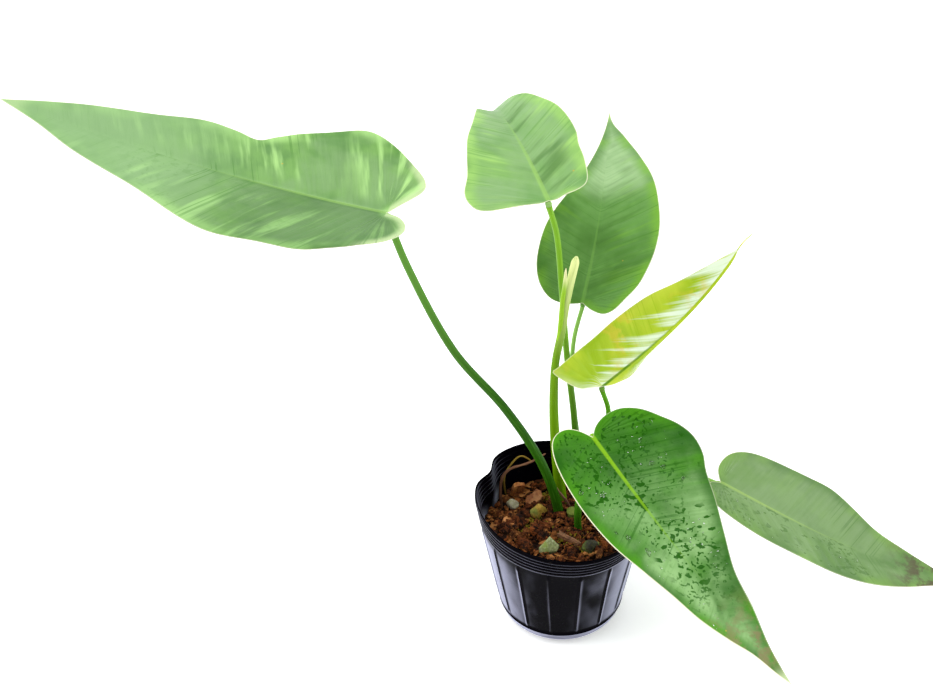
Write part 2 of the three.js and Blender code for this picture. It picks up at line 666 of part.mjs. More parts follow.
function makeTwig({ path, radii }, extra = 0) {
  const curve = smooth(path);
  const radiusAt = (t) => THREE.MathUtils.lerp(radii[0], radii[1], t) + extra;
  return toSolid(taperedTube(curve, radiusAt, 6, 12, extra));
}

const STONES = {
  yellow_stone: { at: [-13.5, 6.5, 73.5], size: [7, 5.5, 5.5], seed: 1, taper: 0.3, colour: 0xc9a227 },
  pale_green_stone: { at: [-9, -30, 80], size: [8.5, 6.5, 8], seed: 2, taper: 0.55, colour: 0xb7bd8c },
  white_stone: { at: [-29, 16, 72.5], size: [4.8, 4.2, 3.8], seed: 3, taper: 0.2, colour: 0xd6cdb8 },
  mossy_stone: { at: [15, -33, 80], size: [7.5, 6, 7], seed: 4, taper: 0.35, colour: 0x7f9a45 },
  chalky_stone: { at: [26.5, -31, 79], size: [4.5, 4.5, 4.2], seed: 5, taper: 0.2, colour: 0xd9d4c4 },
};
const CHIPS = {
  upright_chip: { at: [-25, 29, 70], size: [9, 3, 15], turn: [8, 12, 20], seed: 1 },
  flat_chip: { at: [-15, 20, 71], size: [12, 8, 3.4], turn: [12, -10, 40], seed: 2 },
  side_chip: { at: [-31, -5, 76], size: [10, 7, 4], turn: [-14, 16, -25], seed: 3 },
  long_sliver: { at: [3, -24, 79.5], size: [15, 3.2, 3], turn: [4, 8, -32], seed: 4 },
  right_chip: { at: [36, -8, 75], size: [10, 6, 3.6], turn: [10, 12, 60], seed: 5 },
};
const TWIGS = {
  twig: {
    path: [[-36, 16, 66], [-35, 24, 84], [-31, 29, 88], [-16, 37, 87], [-6, 41, 90]],
    radii: [1.1, 0.7],
  },
  rootlet: {
    path: [[-32, 27, 64], [-33, 31, 80], [-30, 36, 84], [-22, 43, 87], [-14, 45, 80]],
    radii: [0.8, 0.55],
  },
  dry_sheath: { path: [[8, 10, 66], [5, 10.5, 76], [-0.8, 11.2, 86], [-8.5, 13, 101]], radii: [1, 0.55] },
};

function makeSoil() {
  let soil = soilBody();
  const cutters = [
    ...Object.keys(PETIOLES).map((name) => makePetiole(name, SEAT_GAP)),
    sheathTube(SEAT_GAP),
    makeStem(SEAT_GAP),
    ...Object.values(STONES).map((stone) => makeStone(stone, SEAT_GAP)),
    ...Object.values(CHIPS).map((chip) => makeChip(chip, SEAT_GAP)),
    ...Object.values(TWIGS).map((twig) => makeTwig(twig, SEAT_GAP)),
  ];
  for (const cutter of cutters) soil = soil.subtract(cutter);
  return soil;
}

// The finished plant.
const plant = new THREE.Group();
plant.name = 'plant';

function addPiece(name, solid, slot, colour, roughness = 0.6) {
  const material = new THREE.MeshStandardMaterial({ color: colour, roughness });
  material.name = slot;
  const mesh = new THREE.Mesh(toGeometry(solid), material);
  mesh.name = name;
  plant.add(mesh);
}

addPiece('pot', makePot(), 'pot', 0x15161a, 0.35);
addPiece('soil', makeSoil(), 'soil', 0x6b3d20, 0.95);
addPiece('stem', makeStem(), 'stem', 0x6d7a35);
addPiece('shoot_sheath', makeSheath(), 'shoot', GREENS.shoot);
addPiece('rolled_leaf', makeSpear(), 'leaf_young', GREENS.young);
for (const name of Object.keys(BLADES)) {
  const slot = name === 'young' ? 'leaf_young' : 'leaf';
  const colour = name === 'young' ? GREENS.young : GREENS.mature;
  addPiece(`petiole_${name}`, makePetiole(name), 'petiole', GREENS.petiole);
  addPiece(`blade_${name}`, makeBlade(name), slot, colour, 0.4);
}
for (const [name, stone] of Object.entries(STONES)) {
  addPiece(name, makeStone(stone), 'stone', stone.colour, 0.9);
}
for (const [name, chip] of Object.entries(CHIPS)) {
  addPiece(name, makeChip(chip), 'bark', 0x8a4a22, 0.95);
}
for (const [name, twig] of Object.entries(TWIGS)) {
  addPiece(name, makeTwig(twig), 'twig', 0x7a5538, 0.9);
}

export default plant;
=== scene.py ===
"""The looks of a potted aroid with long arrow-shaped leaves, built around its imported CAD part.

Sizes in the tables are in millimetres, as in the part's source, and become metres when a piece is finished.
"""

import math
import random

import bmesh
import bpy
from bpy.props import FloatProperty, FloatVectorProperty, IntProperty, PointerProperty
from bpy.types import Operator, Panel, PropertyGroup
from mathutils import Matrix, Vector, noise
from mathutils.kdtree import KDTree


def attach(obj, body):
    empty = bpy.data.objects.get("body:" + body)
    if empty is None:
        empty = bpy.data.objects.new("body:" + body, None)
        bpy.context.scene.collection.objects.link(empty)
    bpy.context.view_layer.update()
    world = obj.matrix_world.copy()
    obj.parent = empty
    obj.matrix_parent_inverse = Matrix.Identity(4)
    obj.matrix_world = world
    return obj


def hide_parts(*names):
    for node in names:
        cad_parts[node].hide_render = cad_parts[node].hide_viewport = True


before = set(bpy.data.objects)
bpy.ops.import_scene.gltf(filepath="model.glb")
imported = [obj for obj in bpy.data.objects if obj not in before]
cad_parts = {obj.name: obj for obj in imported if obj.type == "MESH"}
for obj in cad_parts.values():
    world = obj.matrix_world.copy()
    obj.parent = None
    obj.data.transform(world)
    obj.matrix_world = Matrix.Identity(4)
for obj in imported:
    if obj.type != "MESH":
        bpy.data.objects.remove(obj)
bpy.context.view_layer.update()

bl_info = {
    "name": "Potted Aroid",
    "version": (1, 0, 0),
    "blender": (4, 5, 0),
    "location": "View3D > Sidebar > Plant",
    "description": "Makes the leaves, stalks, pot, soil and stage of a potted aroid",
    "category": "Object",
}

MM = 0.001

# The pot, as in the part's source. Angles are in degrees from +X.
POT_TAPER = 0.169
RIB_COUNT = 16
RIB_PHASE = 9
RIB_HALF_ANGLE = 1.7
RIB_SPAN = (12, 74)
RING_START = 75
RING_PITCH = 2.8
RIM_TILT = 6.5
DENT_ANGLE = 153
DENT_HALF_ANGLE = 11
DENT_SHARE = 0.1
OVAL_ANGLE = 100
OVAL_SHARE = 0.012
FOOT_RECESS = 1.2
FOOT_RING = (25.5, 30)
FOOT_BOSS = 7
DRAIN_RADIUS = 3.8
DRAIN_CIRCLE = 16
DRAIN_COUNT = 6

# The finer pot's own measures: how far its soft wall wavers, and the steps that it is spun in.
FLUTTER = 0.35
POT_STEPS = 384

# The soil, as in the part's source.
SOIL_LEVEL = 73
SOIL_SLOPE = -0.2
SOIL_RELIEF = 2.2
SOIL_CLOD = 11
SOIL_GAP = 0.8

# The finer soil's own measures. A place of moss is its middle and its spread. Each seed starts a series of
# random draws, for the loose matter on the soil and for the drops on the front and low leaves.
SOIL_STEPS = 240
SOIL_RINGS = 70
FIBRE_REACH = 44
MOSS_PLACES = [(-18, 2, 8), (-22, -8, 7), (2, -16, 7), (12, -30, 7), (-2, -22, 6), (-8, 26, 5)]
SEEDS = {"crumbs": 5, "clods": 17, "flakes": 11, "moss": 23, "fibres": 31, "front": 3, "low": 8}

# The leaves, as in the part's source.
VEIN_LEAD = 0.5
FOLD_ROUND = 3
LOBE_BEND = 42
PETIOLE_DEPTH = 2.4
FIRST_ROW = 1 / 8

# The finer blades' own measures: rows of faces over the lobes and along the midrib, columns across a half,
# how far veins fan out over the lobes, and how far the swelling at the stalk lies below the face.
LOBE_ROWS = 44
SPINE_ROWS = 132
HALF_COLUMNS = 24
LOBE_FAN = 0.42
KNOB_DROP = 1.7
THREAD_RADII = (0.5, 0.32)

# Steps of the finer pieces' curves: between two points of a path, between two corners of an outline, along a
# whole outline, and along a midrib whose length is measured.
PATH_STEPS = 30
CORNER_STEPS = 40
OUTLINE_STEPS = 1200
SPINE_STEPS = 200

# Paths and outlines, as in the part's source, where only the stem and the thread are plainer. A pair of radii
# is that of a path's start and end. A blade's midrib has four control points, faces are where its upper side
# looks at the stalk and at the tip, and folds are the degrees that each half turns up there. A fold_pace
# below 1 reaches the second fold sooner. Waves are the height, number and phase of a half's waves. Left and
# right are the corners of each half's outline, along and across the midrib, in shares of its length. A thread
# is the path of a dry tip.
PETIOLE_PATHS = {
    "left": [(0, 7, 60), (-2, 6, 81), (-12, 6, 117), (-32, 6, 159), (-59, 6, 202), (-81, 6, 260)],
    "top": [(11, 27, 56), (11, 27, 122), (6, 28, 178), (3, 28, 225), (0, 25, 264)],
    "back": [(18, 34, 55), (13, 35, 112), (10, 39, 143), (12, 48, 174)],
    "young": [(16, 8, 60), (22, 6, 100), (27, 4, 140), (28, 4, 155)],
    "front": [(10, -12, 62), (9, -15, 95), (12, -18, 130)],
    "low": [(17, -7, 62), (27, -8, 90), (50, -5, 105), (78, 1, 103)],
}
PETIOLE_RADII = {
    "left": (3.5, 2.0), "top": (2.7, 1.6), "back": (2.2, 1.3), "young": (2.3, 1.4), "front": (2.6, 1.9),
    "low": (2.4, 1.7),
}
BLADES = {
    "left": {
        "midrib": [(-90, 5, 297), (-141, 25, 299), (-216, 48, 313), (-292, 60, 346)],
        "faces": [(0.2, 0, 1), (0.2, -0.2, 1)],
        "folds": {"left": (5, 5), "right": (10, 10)},
        "waves": {"left": (1, 2.5, 0.6), "right": (1.3, 2.6, 0.8)},
        "left": [
            (-0.05, 0.012), (-0.09, 0.05), (-0.1, 0.1), (-0.07, 0.153), (0, 0.19), (0.08, 0.218),
            (0.17, 0.26), (0.27, 0.268), (0.4, 0.25), (0.52, 0.212), (0.66, 0.15), (0.8, 0.092),
            (0.91, 0.034),
        ],
        "right": [
            (-0.035, 0.05), (-0.07, 0.105), (-0.06, 0.145), (-0.01, 0.19), (0.08, 0.244), (0.17, 0.268),
            (0.25, 0.252), (0.34, 0.218), (0.4, 0.176), (0.44, 0.144), (0.5, 0.15), (0.58, 0.15),
            (0.68, 0.125), (0.8, 0.09), (0.91, 0.045),
        ],
    },
    "top": {
        "midrib": [(-5, 18, 291), (-14, 62, 296), (-33, 131, 314), (-34, 168, 246)],
        "faces": [(0, -0.1, 1), (0, 0.3, 1)],
        "folds": {"left": (4, 21), "right": (21, 39)},
        "waves": {"left": (1, 3.2, 0.2), "right": (1.4, 4.2, 0.5)},
        "left": [
            (-0.01, 0.029), (-0.01, 0.09), (-0.02, 0.155), (-0.02, 0.2), (0, 0.231), (0.05, 0.248),
            (0.11, 0.245), (0.19, 0.218), (0.28, 0.197), (0.38, 0.169), (0.51, 0.116), (0.65, 0.072),
            (0.8, 0.045), (0.91, 0.028),
        ],
        "right": [
            (-0.01, 0.028), (-0.005, 0.062), (-0.01, 0.092), (0, 0.124), (0.04, 0.144), (0.12, 0.158),
            (0.19, 0.162), (0.25, 0.176), (0.31, 0.18), (0.38, 0.173), (0.46, 0.158), (0.56, 0.134),
            (0.67, 0.103), (0.79, 0.072), (0.9, 0.034),
        ],
    },
    "back": {
        "midrib": [(18, 60, 192), (28, 90, 206), (40, 134, 224), (56, 257, 212)],
        "faces": [(-0.1, -0.1, 1), (0.1, -0.1, 1)],
        "folds": {"left": (18, 18), "right": (18, 18)},
        "waves": {"left": (1.5, 1.5, 0.3), "right": (2, 1.8, 0.1)},
        "left": [
            (-0.03, 0.05), (-0.02, 0.096), (0.05, 0.134), (0.15, 0.157), (0.26, 0.165), (0.37, 0.16),
            (0.47, 0.14), (0.57, 0.108), (0.7, 0.065), (0.82, 0.032), (0.92, 0.011),
        ],
        "right": [
            (-0.05, 0.035), (-0.08, 0.075), (-0.06, 0.108), (0.01, 0.14), (0.09, 0.172), (0.19, 0.188),
            (0.3, 0.197), (0.42, 0.197), (0.54, 0.181), (0.65, 0.155), (0.76, 0.112), (0.86, 0.062),
            (0.94, 0.016),
        ],
    },
    "young": {
        "midrib": [(24, 2, 174.7), (51, 28, 176.7), (87.5, 58.5, 183), (112.8, 76.8, 214.3)],
        "faces": [(-0.1, -0.3, 0.9), (-0.1, -0.3, 0.9)],
        "folds": {"left": (25, 25), "right": (-60, -170)},
        "fold_pace": 0.7,
        "waves": {"left": (1.2, 2, 0.2), "right": (1, 2, 0.4)},
        "left": [
            (-0.03, 0.02), (-0.1, 0.052), (-0.14, 0.106), (-0.17, 0.19), (-0.12, 0.195), (0, 0.199),
            (0.14, 0.203), (0.29, 0.21), (0.44, 0.2), (0.56, 0.179), (0.69, 0.136), (0.81, 0.092),
            (0.92, 0.043),
        ],
        "right": [
            (0.03, 0.014), (0.08, 0.032), (0.13, 0.052), (0.18, 0.08), (0.24, 0.117), (0.3, 0.155),
            (0.37, 0.18), (0.48, 0.16), (0.65, 0.112), (0.8, 0.066), (0.91, 0.025),
        ],
        "thread": [(112, 76.2, 213.3), (114.5, 79.5, 214.4), (119, 86, 214.1), (124.2, 92.9, 213)],
    },
    "front": {
        "midrib": [(17, -16, 153), (38, -44, 133), (72, -91, 103), (111, -142, 82)],
        "faces": [(-0.1, -0.6, 0.8), (0.1, -0.4, 0.9)],
        "folds": {"left": (4, 4), "right": (24, 20)},
        "waves": {"left": (1.5, 2, 0.6), "right": (1.5, 2.2, 0.1)},
        "left": [
            (-0.035, 0.03), (-0.05, 0.075), (-0.035, 0.13), (0.02, 0.182), (0.1, 0.224), (0.17, 0.255),
            (0.24, 0.268), (0.31, 0.258), (0.37, 0.23), (0.46, 0.2), (0.56, 0.155), (0.67, 0.101),
            (0.78, 0.07), (0.88, 0.032), (0.95, 0.012),
        ],
        "right": [
            (-0.055, 0.025), (-0.095, 0.06), (-0.1, 0.104), (-0.065, 0.142), (0.02, 0.17), (0.14, 0.189),
            (0.27, 0.195), (0.4, 0.187), (0.52, 0.158), (0.62, 0.13), (0.72, 0.106), (0.81, 0.07),
            (0.88, 0.035), (0.95, 0.016),
        ],
    },
    "low": {
        "midrib": [(98, 6, 91), (141, -4, 66), (190, -15, 35), (247, -28, 24)],
        "faces": [(0.4, -0.1, 0.9), (0.4, -0.1, 0.9)],
        "folds": {"left": (10, 10), "right": (10, 10)},
        "waves": {"left": (1.2, 1.6, 0.2), "right": (1.2, 1.8, 0.7)},
        "left": [
            (-0.02, 0.05), (-0.01, 0.1), (0.02, 0.145), (0.07, 0.18), (0.14, 0.206), (0.24, 0.224),
            (0.36, 0.234), (0.47, 0.226), (0.57, 0.182), (0.67, 0.124), (0.79, 0.084), (0.9, 0.045),
        ],
        "right": [
            (-0.05, 0.035), (-0.05, 0.09), (-0.02, 0.15), (0.07, 0.187), (0.19, 0.208), (0.3, 0.214),
            (0.42, 0.207), (0.55, 0.19), (0.67, 0.158), (0.78, 0.11), (0.9, 0.042),
        ],
    },
}
SHOOT_PATH = [
    (3, 18, 58), (-1, 18, 109), (-2.4, 18, 138), (-2.4, 18, 163), (-1.4, 18, 182), (2, 18, 203.4),
    (4.8, 18, 225.6), (10.1, 18, 254.3),
]
SHOOT_RADII = (3.8, 2.4)
SPEAR_PATH = [
    (-0.5, 18, 188), (1, 17, 205.6), (1.7, 16, 216.9), (2.3, 15.1, 227.8), (3.3, 14.6, 237),
    (4.1, 14.4, 249.6),
]
SPEAR_RADII = (1.45, 0.4)
STEM_PATH = [(7.5, 2.5, 50), (7.5, 2.5, 60), (7.5, 2.5, 70), (7.5, 2.5, 78)]
STEM_RADII = (4.6, 3.4)
TWIG_PATHS = {
    "twig": [(-36, 16, 66), (-35, 24, 84), (-31, 29, 88), (-16, 37, 87), (-6, 41, 90)],
    "rootlet": [(-32, 27, 64), (-33, 31, 80), (-30, 36, 84), (-22, 43, 87), (-14, 45, 80)],
    "dry_sheath": [(8, 10, 66), (5, 10.5, 76), (-0.8, 11.2, 86), (-8.5, 13, 101)],
}
TWIG_RADII = {"twig": (1.1, 0.7), "rootlet": (0.8, 0.55), "dry_sheath": (1, 0.55)}


# The stage, in metres, apart from the sensor's width, which is in millimetres. A light has a place, a size
# and a share of the side lights' power.
LIGHTS = {
    "left_light": ((-1.5, 0.1, 0.7), (1.2, 1.2), 1.15),
    "right_light": ((1.5, 0.2, 0.7), (1.2, 1.2), 1.2),
    "top_light": ((-0.3, 0.0, 1.8), (1.4, 1.4), 1.3),
    "back_light": ((0.1, 1.7, 0.9), (1.6, 0.9), 0.4),
}
LIGHT_TARGET = (0, 0, 0.12)
CAMERA_PLACE = (-0.0524, -0.6125, 0.6866)
SENSOR_WIDTH = 36
FLOOR_DROP = -0.0002
FLOOR_TONES = ((0.94, 0.94, 0.95, 1), (0.96, 0.96, 0.96, 1))
FLOOR_GLOW = 0.36
SKY_COLOUR = (0.96, 0.98, 1, 1)
SKY_STRENGTH = 0.75

# Colours in hex: dark, main and pale, and for a stone what grows on it and how much.
STONES = {
    "yellow_stone": (0x7A5A18, 0xB08C30, 0xCAAC54, 0x7A8A3A, 0.6),
    "pale_green_stone": (0x747A4A, 0x969E6A, 0xC4C8A8, 0x86983E, 0.7),
    "white_stone": (0x8A7E64, 0xA8A088, 0xC8C4B8, 0x868E4E, 0.6),
    "mossy_stone": (0x16150C, 0x2A2816, 0x444018, 0x6E8222, 0.75),
    "chalky_stone": (0x948A78, 0xBAB2A4, 0xD6D2CA, 0x9A9A6A, 0.3),
}
CHIPS = {
    "upright_chip": (0x5A2C12, 0x9C5A28, 0xCC8C54),
    "flat_chip": (0x5C301A, 0x8C5432, 0xAE7850),
    "side_chip": (0x5C3018, 0x9E5E30, 0xCC8A54),
    "long_sliver": (0x4C2E1E, 0x82583C, 0xAE8464),
    "right_chip": (0x3E2014, 0x683A20, 0x905C38),
}
TWIG_TONES = {
    "twig": (0x4A2E20, 0x7A5440, 0xA07860),
    "rootlet": (0x5E4A1A, 0x8A6E2C, 0xB09450),
    "dry_sheath": (0x5A3A2C, 0x8E6A54, 0xB08E78),
}
# The soil's ground under the loose matter: dark, main and pale coir, kept darker than the crumbs as painted
# shade in the gaps between them.
COIR_GAP_SHADE_TONES = (0x100603, 0x2A130A, 0x6A3C1E)

# Colours in hex of what is green: at the foot, at the top and of the streaks.
STEM_TONES = (0x4E4A22, 0x6E7A34, 0x8A8A50)
SHEATH_TONES = (0x628C06, 0xD6DE96, 0x749A12)
SPEAR_TONES = (0x8AB428, 0xE0DAA8, 0x74A624)

# The green at the top of each stalk. All of them have the same green at the foot and the same streaks.
STALK_STREAK = 0x4E8A22
STALK_TOPS = {
    "left": 0x5A8A34, "top": 0x74A428, "back": 0x84B056, "young": 0x4E8C08, "front": 0x4A8A18,
    "low": 0x6E9A3C,
}


def paint(code):
    """A colour written as hex red, green and blue, in the linear numbers that Blender uses."""
    parts = [(code >> shift & 255) / 255 for shift in (16, 8, 0)]
    linear = [p / 12.92 if p <= 0.04045 else ((p + 0.055) / 1.055) ** 2.4 for p in parts]
    return (*linear, 1.0)


def shaded(colour, share):
    """A colour with only a share of its light."""
    return (*[share * part for part in colour[:3]], 1.0)


# Colours that are the same on every piece, and how far apart the noise of a blade's halves is.
# Painted shade over a blade's left half.
PAINTED_HALF_SHADE = (0.6, 0.66, 0.6, 1)
FAR_GREEN = paint(0x80A270)
CREAM = paint(0xB4C694)
# Painted glints beside a young midrib.
GLINT_WHITE = paint(0xDCE8DC)
FLECK = paint(0xB59A3C)
DUST = paint(0x3A342E)
# Painted shade in the soil's cracks, hollows and the low sides of clods.
CREVICE_SHADE = paint(0x0E0503)
VIOLET = (0.74, 0.75, 1.0, 1.0)
HALVES_APART = 7.3

# What the blades share. Amounts go from 0 to 1: filmed is a painted sheen, a dull grey reflection painted
# into the colour, sheen_grey_low the least of it in a patch, foot how much of it lies near the stalk, and
# sheen_grey_from where along the blade it sets in. Bands are pale stripes between side veins, pleats painted
# shade in the pleats of the right half, and dim painted shade over the left half. Far, cream and tip are
# paler ends, silver is painted glints beside a young midrib, and edged is the strength of the pale line along
# the margin.
LEAF_TONES = ("deep", "fresh", "bright", "sheen_grey", "rib", "under", "stain")
LEAF_DEFAULTS = {
    "sheen_grey_amount": 0.8, "sheen_grey_low": 0.35, "foot": 1.0, "sheen_grey_from": (0.25, 0.7), "ribbed": 0.6, "rib_width": 1.2,
    "bands": 0.4, "pleat_shade": 0.0, "half_shade": 0.0, "far": 0.0, "cream": 0.0, "tip": 0.0, "glint_amount": 0.0, "wet": 0.0,
    "wet_side": 0, "stain": 0x63703F, "stained": 0.0, "edged": 0.4, "gloss": 0.42,
}
LEAF_LOOKS = {
    "left": {
        "deep": 0x4C7838, "fresh": 0x6A9846, "bright": 0x9EC87A, "sheen_grey": 0x749462, "rib": 0x7CA254,
        "under": 0x6F9457, "ribbed": 0.65, "rib_width": 1.35, "bands": 0.85, "pleat_shade": 0.15, "half_shade": 1.0,
        "far": 0.65, "cream": 0.75, "tip": 0.3, "wet": 0.2, "wet_side": 1,
    },
    "top": {
        "deep": 0x5C8A44, "fresh": 0x729E50, "bright": 0x92BC62, "sheen_grey": 0x7E9E6C, "rib": 0x88B058,
        "under": 0x6F9457, "rib_width": 1.35, "bands": 0.8, "pleat_shade": 0.7, "cream": 0.3, "edged": 0.55,
    },
    "back": {
        "deep": 0x3E6C20, "fresh": 0x548238, "bright": 0x6C9E2E, "sheen_grey": 0x92B07E, "rib": 0x72A048,
        "under": 0x5F8046, "sheen_grey_amount": 0.9, "sheen_grey_low": 0.8, "foot": 0.08, "sheen_grey_from": (0.54, 0.68),
        "ribbed": 0.4, "pleat_shade": 0.35, "tip": 0.3, "edged": 0.55,
    },
    "young": {
        "deep": 0x88A616, "fresh": 0x9CB220, "bright": 0xB4C23C, "sheen_grey": 0xAEC060, "rib": 0x4E7A10,
        "under": 0x9CB830, "sheen_grey_amount": 0.12, "ribbed": 0.95, "rib_width": 0.8, "glint_amount": 0.75, "cream": 0.6,
        "stain": 0xC2AE3A, "stained": 0.55, "gloss": 0.26,
    },
    "front": {
        "deep": 0x1C5600, "fresh": 0x306E04, "bright": 0x4A8E12, "sheen_grey": 0x88AE70, "rib": 0x82B41C,
        "under": 0x5F8046, "sheen_grey_amount": 0.95, "sheen_grey_low": 0.18, "foot": 0.08, "sheen_grey_from": (0.12, 0.5),
        "ribbed": 0.85, "bands": 0.25, "wet": 0.95, "stain": 0x7C7450, "stained": 0.85, "edged": 1.0,
        "tip": 0.9, "gloss": 0.34,
    },
    "low": {
        "deep": 0x486A34, "fresh": 0x5E8042, "bright": 0x709448, "sheen_grey": 0x748E60, "rib": 0x8CA858,
        "under": 0x66804F, "sheen_grey_amount": 0.75, "bands": 0.2, "wet": 0.6, "wet_side": -1, "stain": 0x504838,
        "stained": 0.9, "gloss": 0.38,
    },
}


def length_setting(**about):
    """A setting for a length, in metres."""
    return FloatProperty(unit="LENGTH", **about)


def count_setting(**about):
    """A setting for a number of like things."""
    return IntProperty(min=0, **about)


def colour_setting(code, **about):
    """A setting for a colour, whose default is given in hex."""
    return FloatVectorProperty(default=paint(code), subtype="COLOR", size=4, min=0, max=1, **about)


def angle_setting(degrees, **about):
    """A setting for an angle, whose default is given in degrees."""
    return FloatProperty(default=math.radians(degrees), subtype="ANGLE", **about)


class PotSettings(PropertyGroup):
    height: length_setting(name="Height", description="Height of the pot's rim", default=0.09)
    foot_radius: length_setting(
        name="Foot radius", description="Radius of the wall at the floor", default=0.0372
    )
    wall: length_setting(name="Wall", description="Thickness of the soft wall", default=0.0011)
    rib_height: length_setting(
        name="Rib height", description="How far an upright rib stands out", default=0.0007
    )
    ring_count: count_setting(name="Rings", description="Number of fine rings under the rim", default=5)
    ring_height: length_setting(
        name="Ring height", description="How far a ring stands out", default=0.00055
    )
    colour: colour_setting(0x030206, name="Colour", description="Colour of the plastic")


class SoilSettings(PropertyGroup):
    crumbs: count_setting(name="Crumbs", description="Number of loose coir crumbs", default=620)
    flakes: count_setting(name="Flakes", description="Number of small bark flakes", default=190)
    fibres: count_setting(name="Fibres", description="Number of loose coir fibres", default=150)
    clods: count_setting(name="Clods", description="Number of large clods of coir", default=64)
    moss: count_setting(name="Moss", description="Number of grains of moss", default=420)
    colour: colour_setting(0x4E240E, name="Colour", description="Main colour of the coir")
    moss_colour: colour_setting(0x746616, name="Moss colour", description="Colour of the moss")


class LeafSettings(PropertyGroup):
    thickness: length_setting(
        name="Thickness", description="Thickness of a blade between its veins", default=0.0006
    )
    vein_spacing: length_setting(
        name="Vein spacing", description="Distance between side veins along the midrib", default=0.0095
    )
    pleat: length_setting(
        name="Pleat", description="How far a blade swells between its side veins", default=0.0003
    )
    margin_colour: colour_setting(
        0xE6E3C4, name="Margin colour", description="Colour of the thin pale edge line"
    )
    stalk_colour: colour_setting(0x265408, name="Stalk colour", description="Main green of the stalks")


class WaterSettings(PropertyGroup):
    drops: count_setting(name="Drops", description="Number of drops on the front leaf", default=240)
    size: length_setting(name="Drop size", description="Width of the largest drops", default=0.0034)


class StageSettings(PropertyGroup):
    floor_size: length_setting(name="Floor size", description="Width of the pale floor", default=8)
    lens: FloatProperty(name="Lens", description="Focal length in millimetres", default=54.02)
    pitch: angle_setting(38, name="Pitch", description="How far the camera looks down")
    roll: angle_setting(3, name="Roll", description="How far the camera leans")
    key: FloatProperty(name="Side light", description="Power of each side light in watts", default=15)


def lerp(a, b, t):
    """The value a share t of the way from a to b."""
    return a + (b - a) * t


def clamp(value, low=0.0, high=1.0):
    """The value, kept between two limits."""
    return max(low, min(high, value))


def ease(low, high, value):
    """0 up to low, 1 from high on, and a smooth rise between."""
    t = clamp((value - low) / (high - low))
    return t * t * (3 - 2 * t)


def shares(steps):
    """Even shares from 0 to 1."""
    return [step / steps for step in range(steps + 1)]


class Finish:
    """A material whose nodes are added one by one. A value is a number, a colour or another node's output."""

    def __init__(self, name):
        self.material = bpy.data.materials.new(name)
        self.material.use_nodes = True
        self.tree = self.material.node_tree
        self.shader = self.tree.nodes["Principled BSDF"]

    def put(self, socket, value):
        """Joins an output to a socket, or sets its number or colour."""
        if isinstance(value, bpy.types.NodeSocket):
            self.tree.links.new(value, socket)
        else:
            socket.default_value = value

    def fill(self, node, **values):
        """Puts values into a node's sockets, named with underscores for spaces."""
        for name, value in values.items():
            self.put(node.inputs[name.replace("_", " ")], value)
        return node

    def set(self, **values):
        """Puts values into the shader's own sockets."""
        self.fill(self.shader, **values)

    def add(self, kind, *values, **settings):
        """Adds a node, and puts the values into its first sockets."""
        node = self.tree.nodes.new(kind)
        for name, value in settings.items():
            setattr(node, name, value)
        for socket, value in zip(node.inputs, values):
            self.put(socket, value)
        return node

    def math(self, operation, a, b, clamped=False):
        return self.add("ShaderNodeMath", a, b, operation=operation, use_clamp=clamped).outputs[0]

    def times(self, value, *others):
        """The product of two or more values."""
        for other in others:
            value = self.math("MULTIPLY", value, other)
        return value

    def plus(self, value, *others):
        """The sum of two or more values."""
        for other in others:
            value = self.math("ADD", value, other)
        return value

    def ramp(self, value, low, high, start=0.0, end=1.0):
        """A smooth change from start to end as the value goes from low to high."""
        node = self.add("ShaderNodeMapRange", value, low, high, start, end)
        node.interpolation_type = "SMOOTHSTEP"
        return node.outputs[0]

    def blend(self, factor, a, b, kind="MIX"):
        """A colour between two others."""
        node = self.add("ShaderNodeMix", factor, data_type="RGBA", blend_type=kind)
        self.put(node.inputs[6], a)
        self.put(node.inputs[7], b)
        return node.outputs[2]

    def vector(self, x, y, z):
        return self.add("ShaderNodeCombineXYZ", x, y, z).outputs[0]

    def split(self, vector):
        return self.add("ShaderNodeSeparateXYZ", vector).outputs[:3]

    def attribute(self, name):
        return self.add("ShaderNodeAttribute", attribute_name=name).outputs["Vector"]

    def place(self):
        return self.add("ShaderNodeTexCoord").outputs["Object"]

    def stretch(self, vector, scale):
        return self.fill(self.add("ShaderNodeMapping"), Vector=vector, Scale=scale).outputs[0]

    def noise(self, vector, scale, detail, roughness=0.5, distortion=0.0):
        node = self.add("ShaderNodeTexNoise")
        self.fill(node, Vector=vector, Scale=scale, Detail=detail)
        self.fill(node, Roughness=roughness, Distortion=distortion)
        return node.outputs[0]

    def clouds(self, vector, scale, detail, *change, roughness=0.5, distortion=0.0):
        """Noise made into a smooth change: from low to high, and from start to end if they are given."""
        return self.ramp(self.noise(vector, scale, detail, roughness, distortion), *change)

    def cells(self, vector, scale, output=0):
        return self.fill(self.add("ShaderNodeTexVoronoi"), Vector=vector, Scale=scale).outputs[output]

    def bump(self, height, distance, strength):
        node = self.add("ShaderNodeBump")
        self.fill(node, Strength=strength, Distance=distance, Height=height)
        return node.outputs[0]


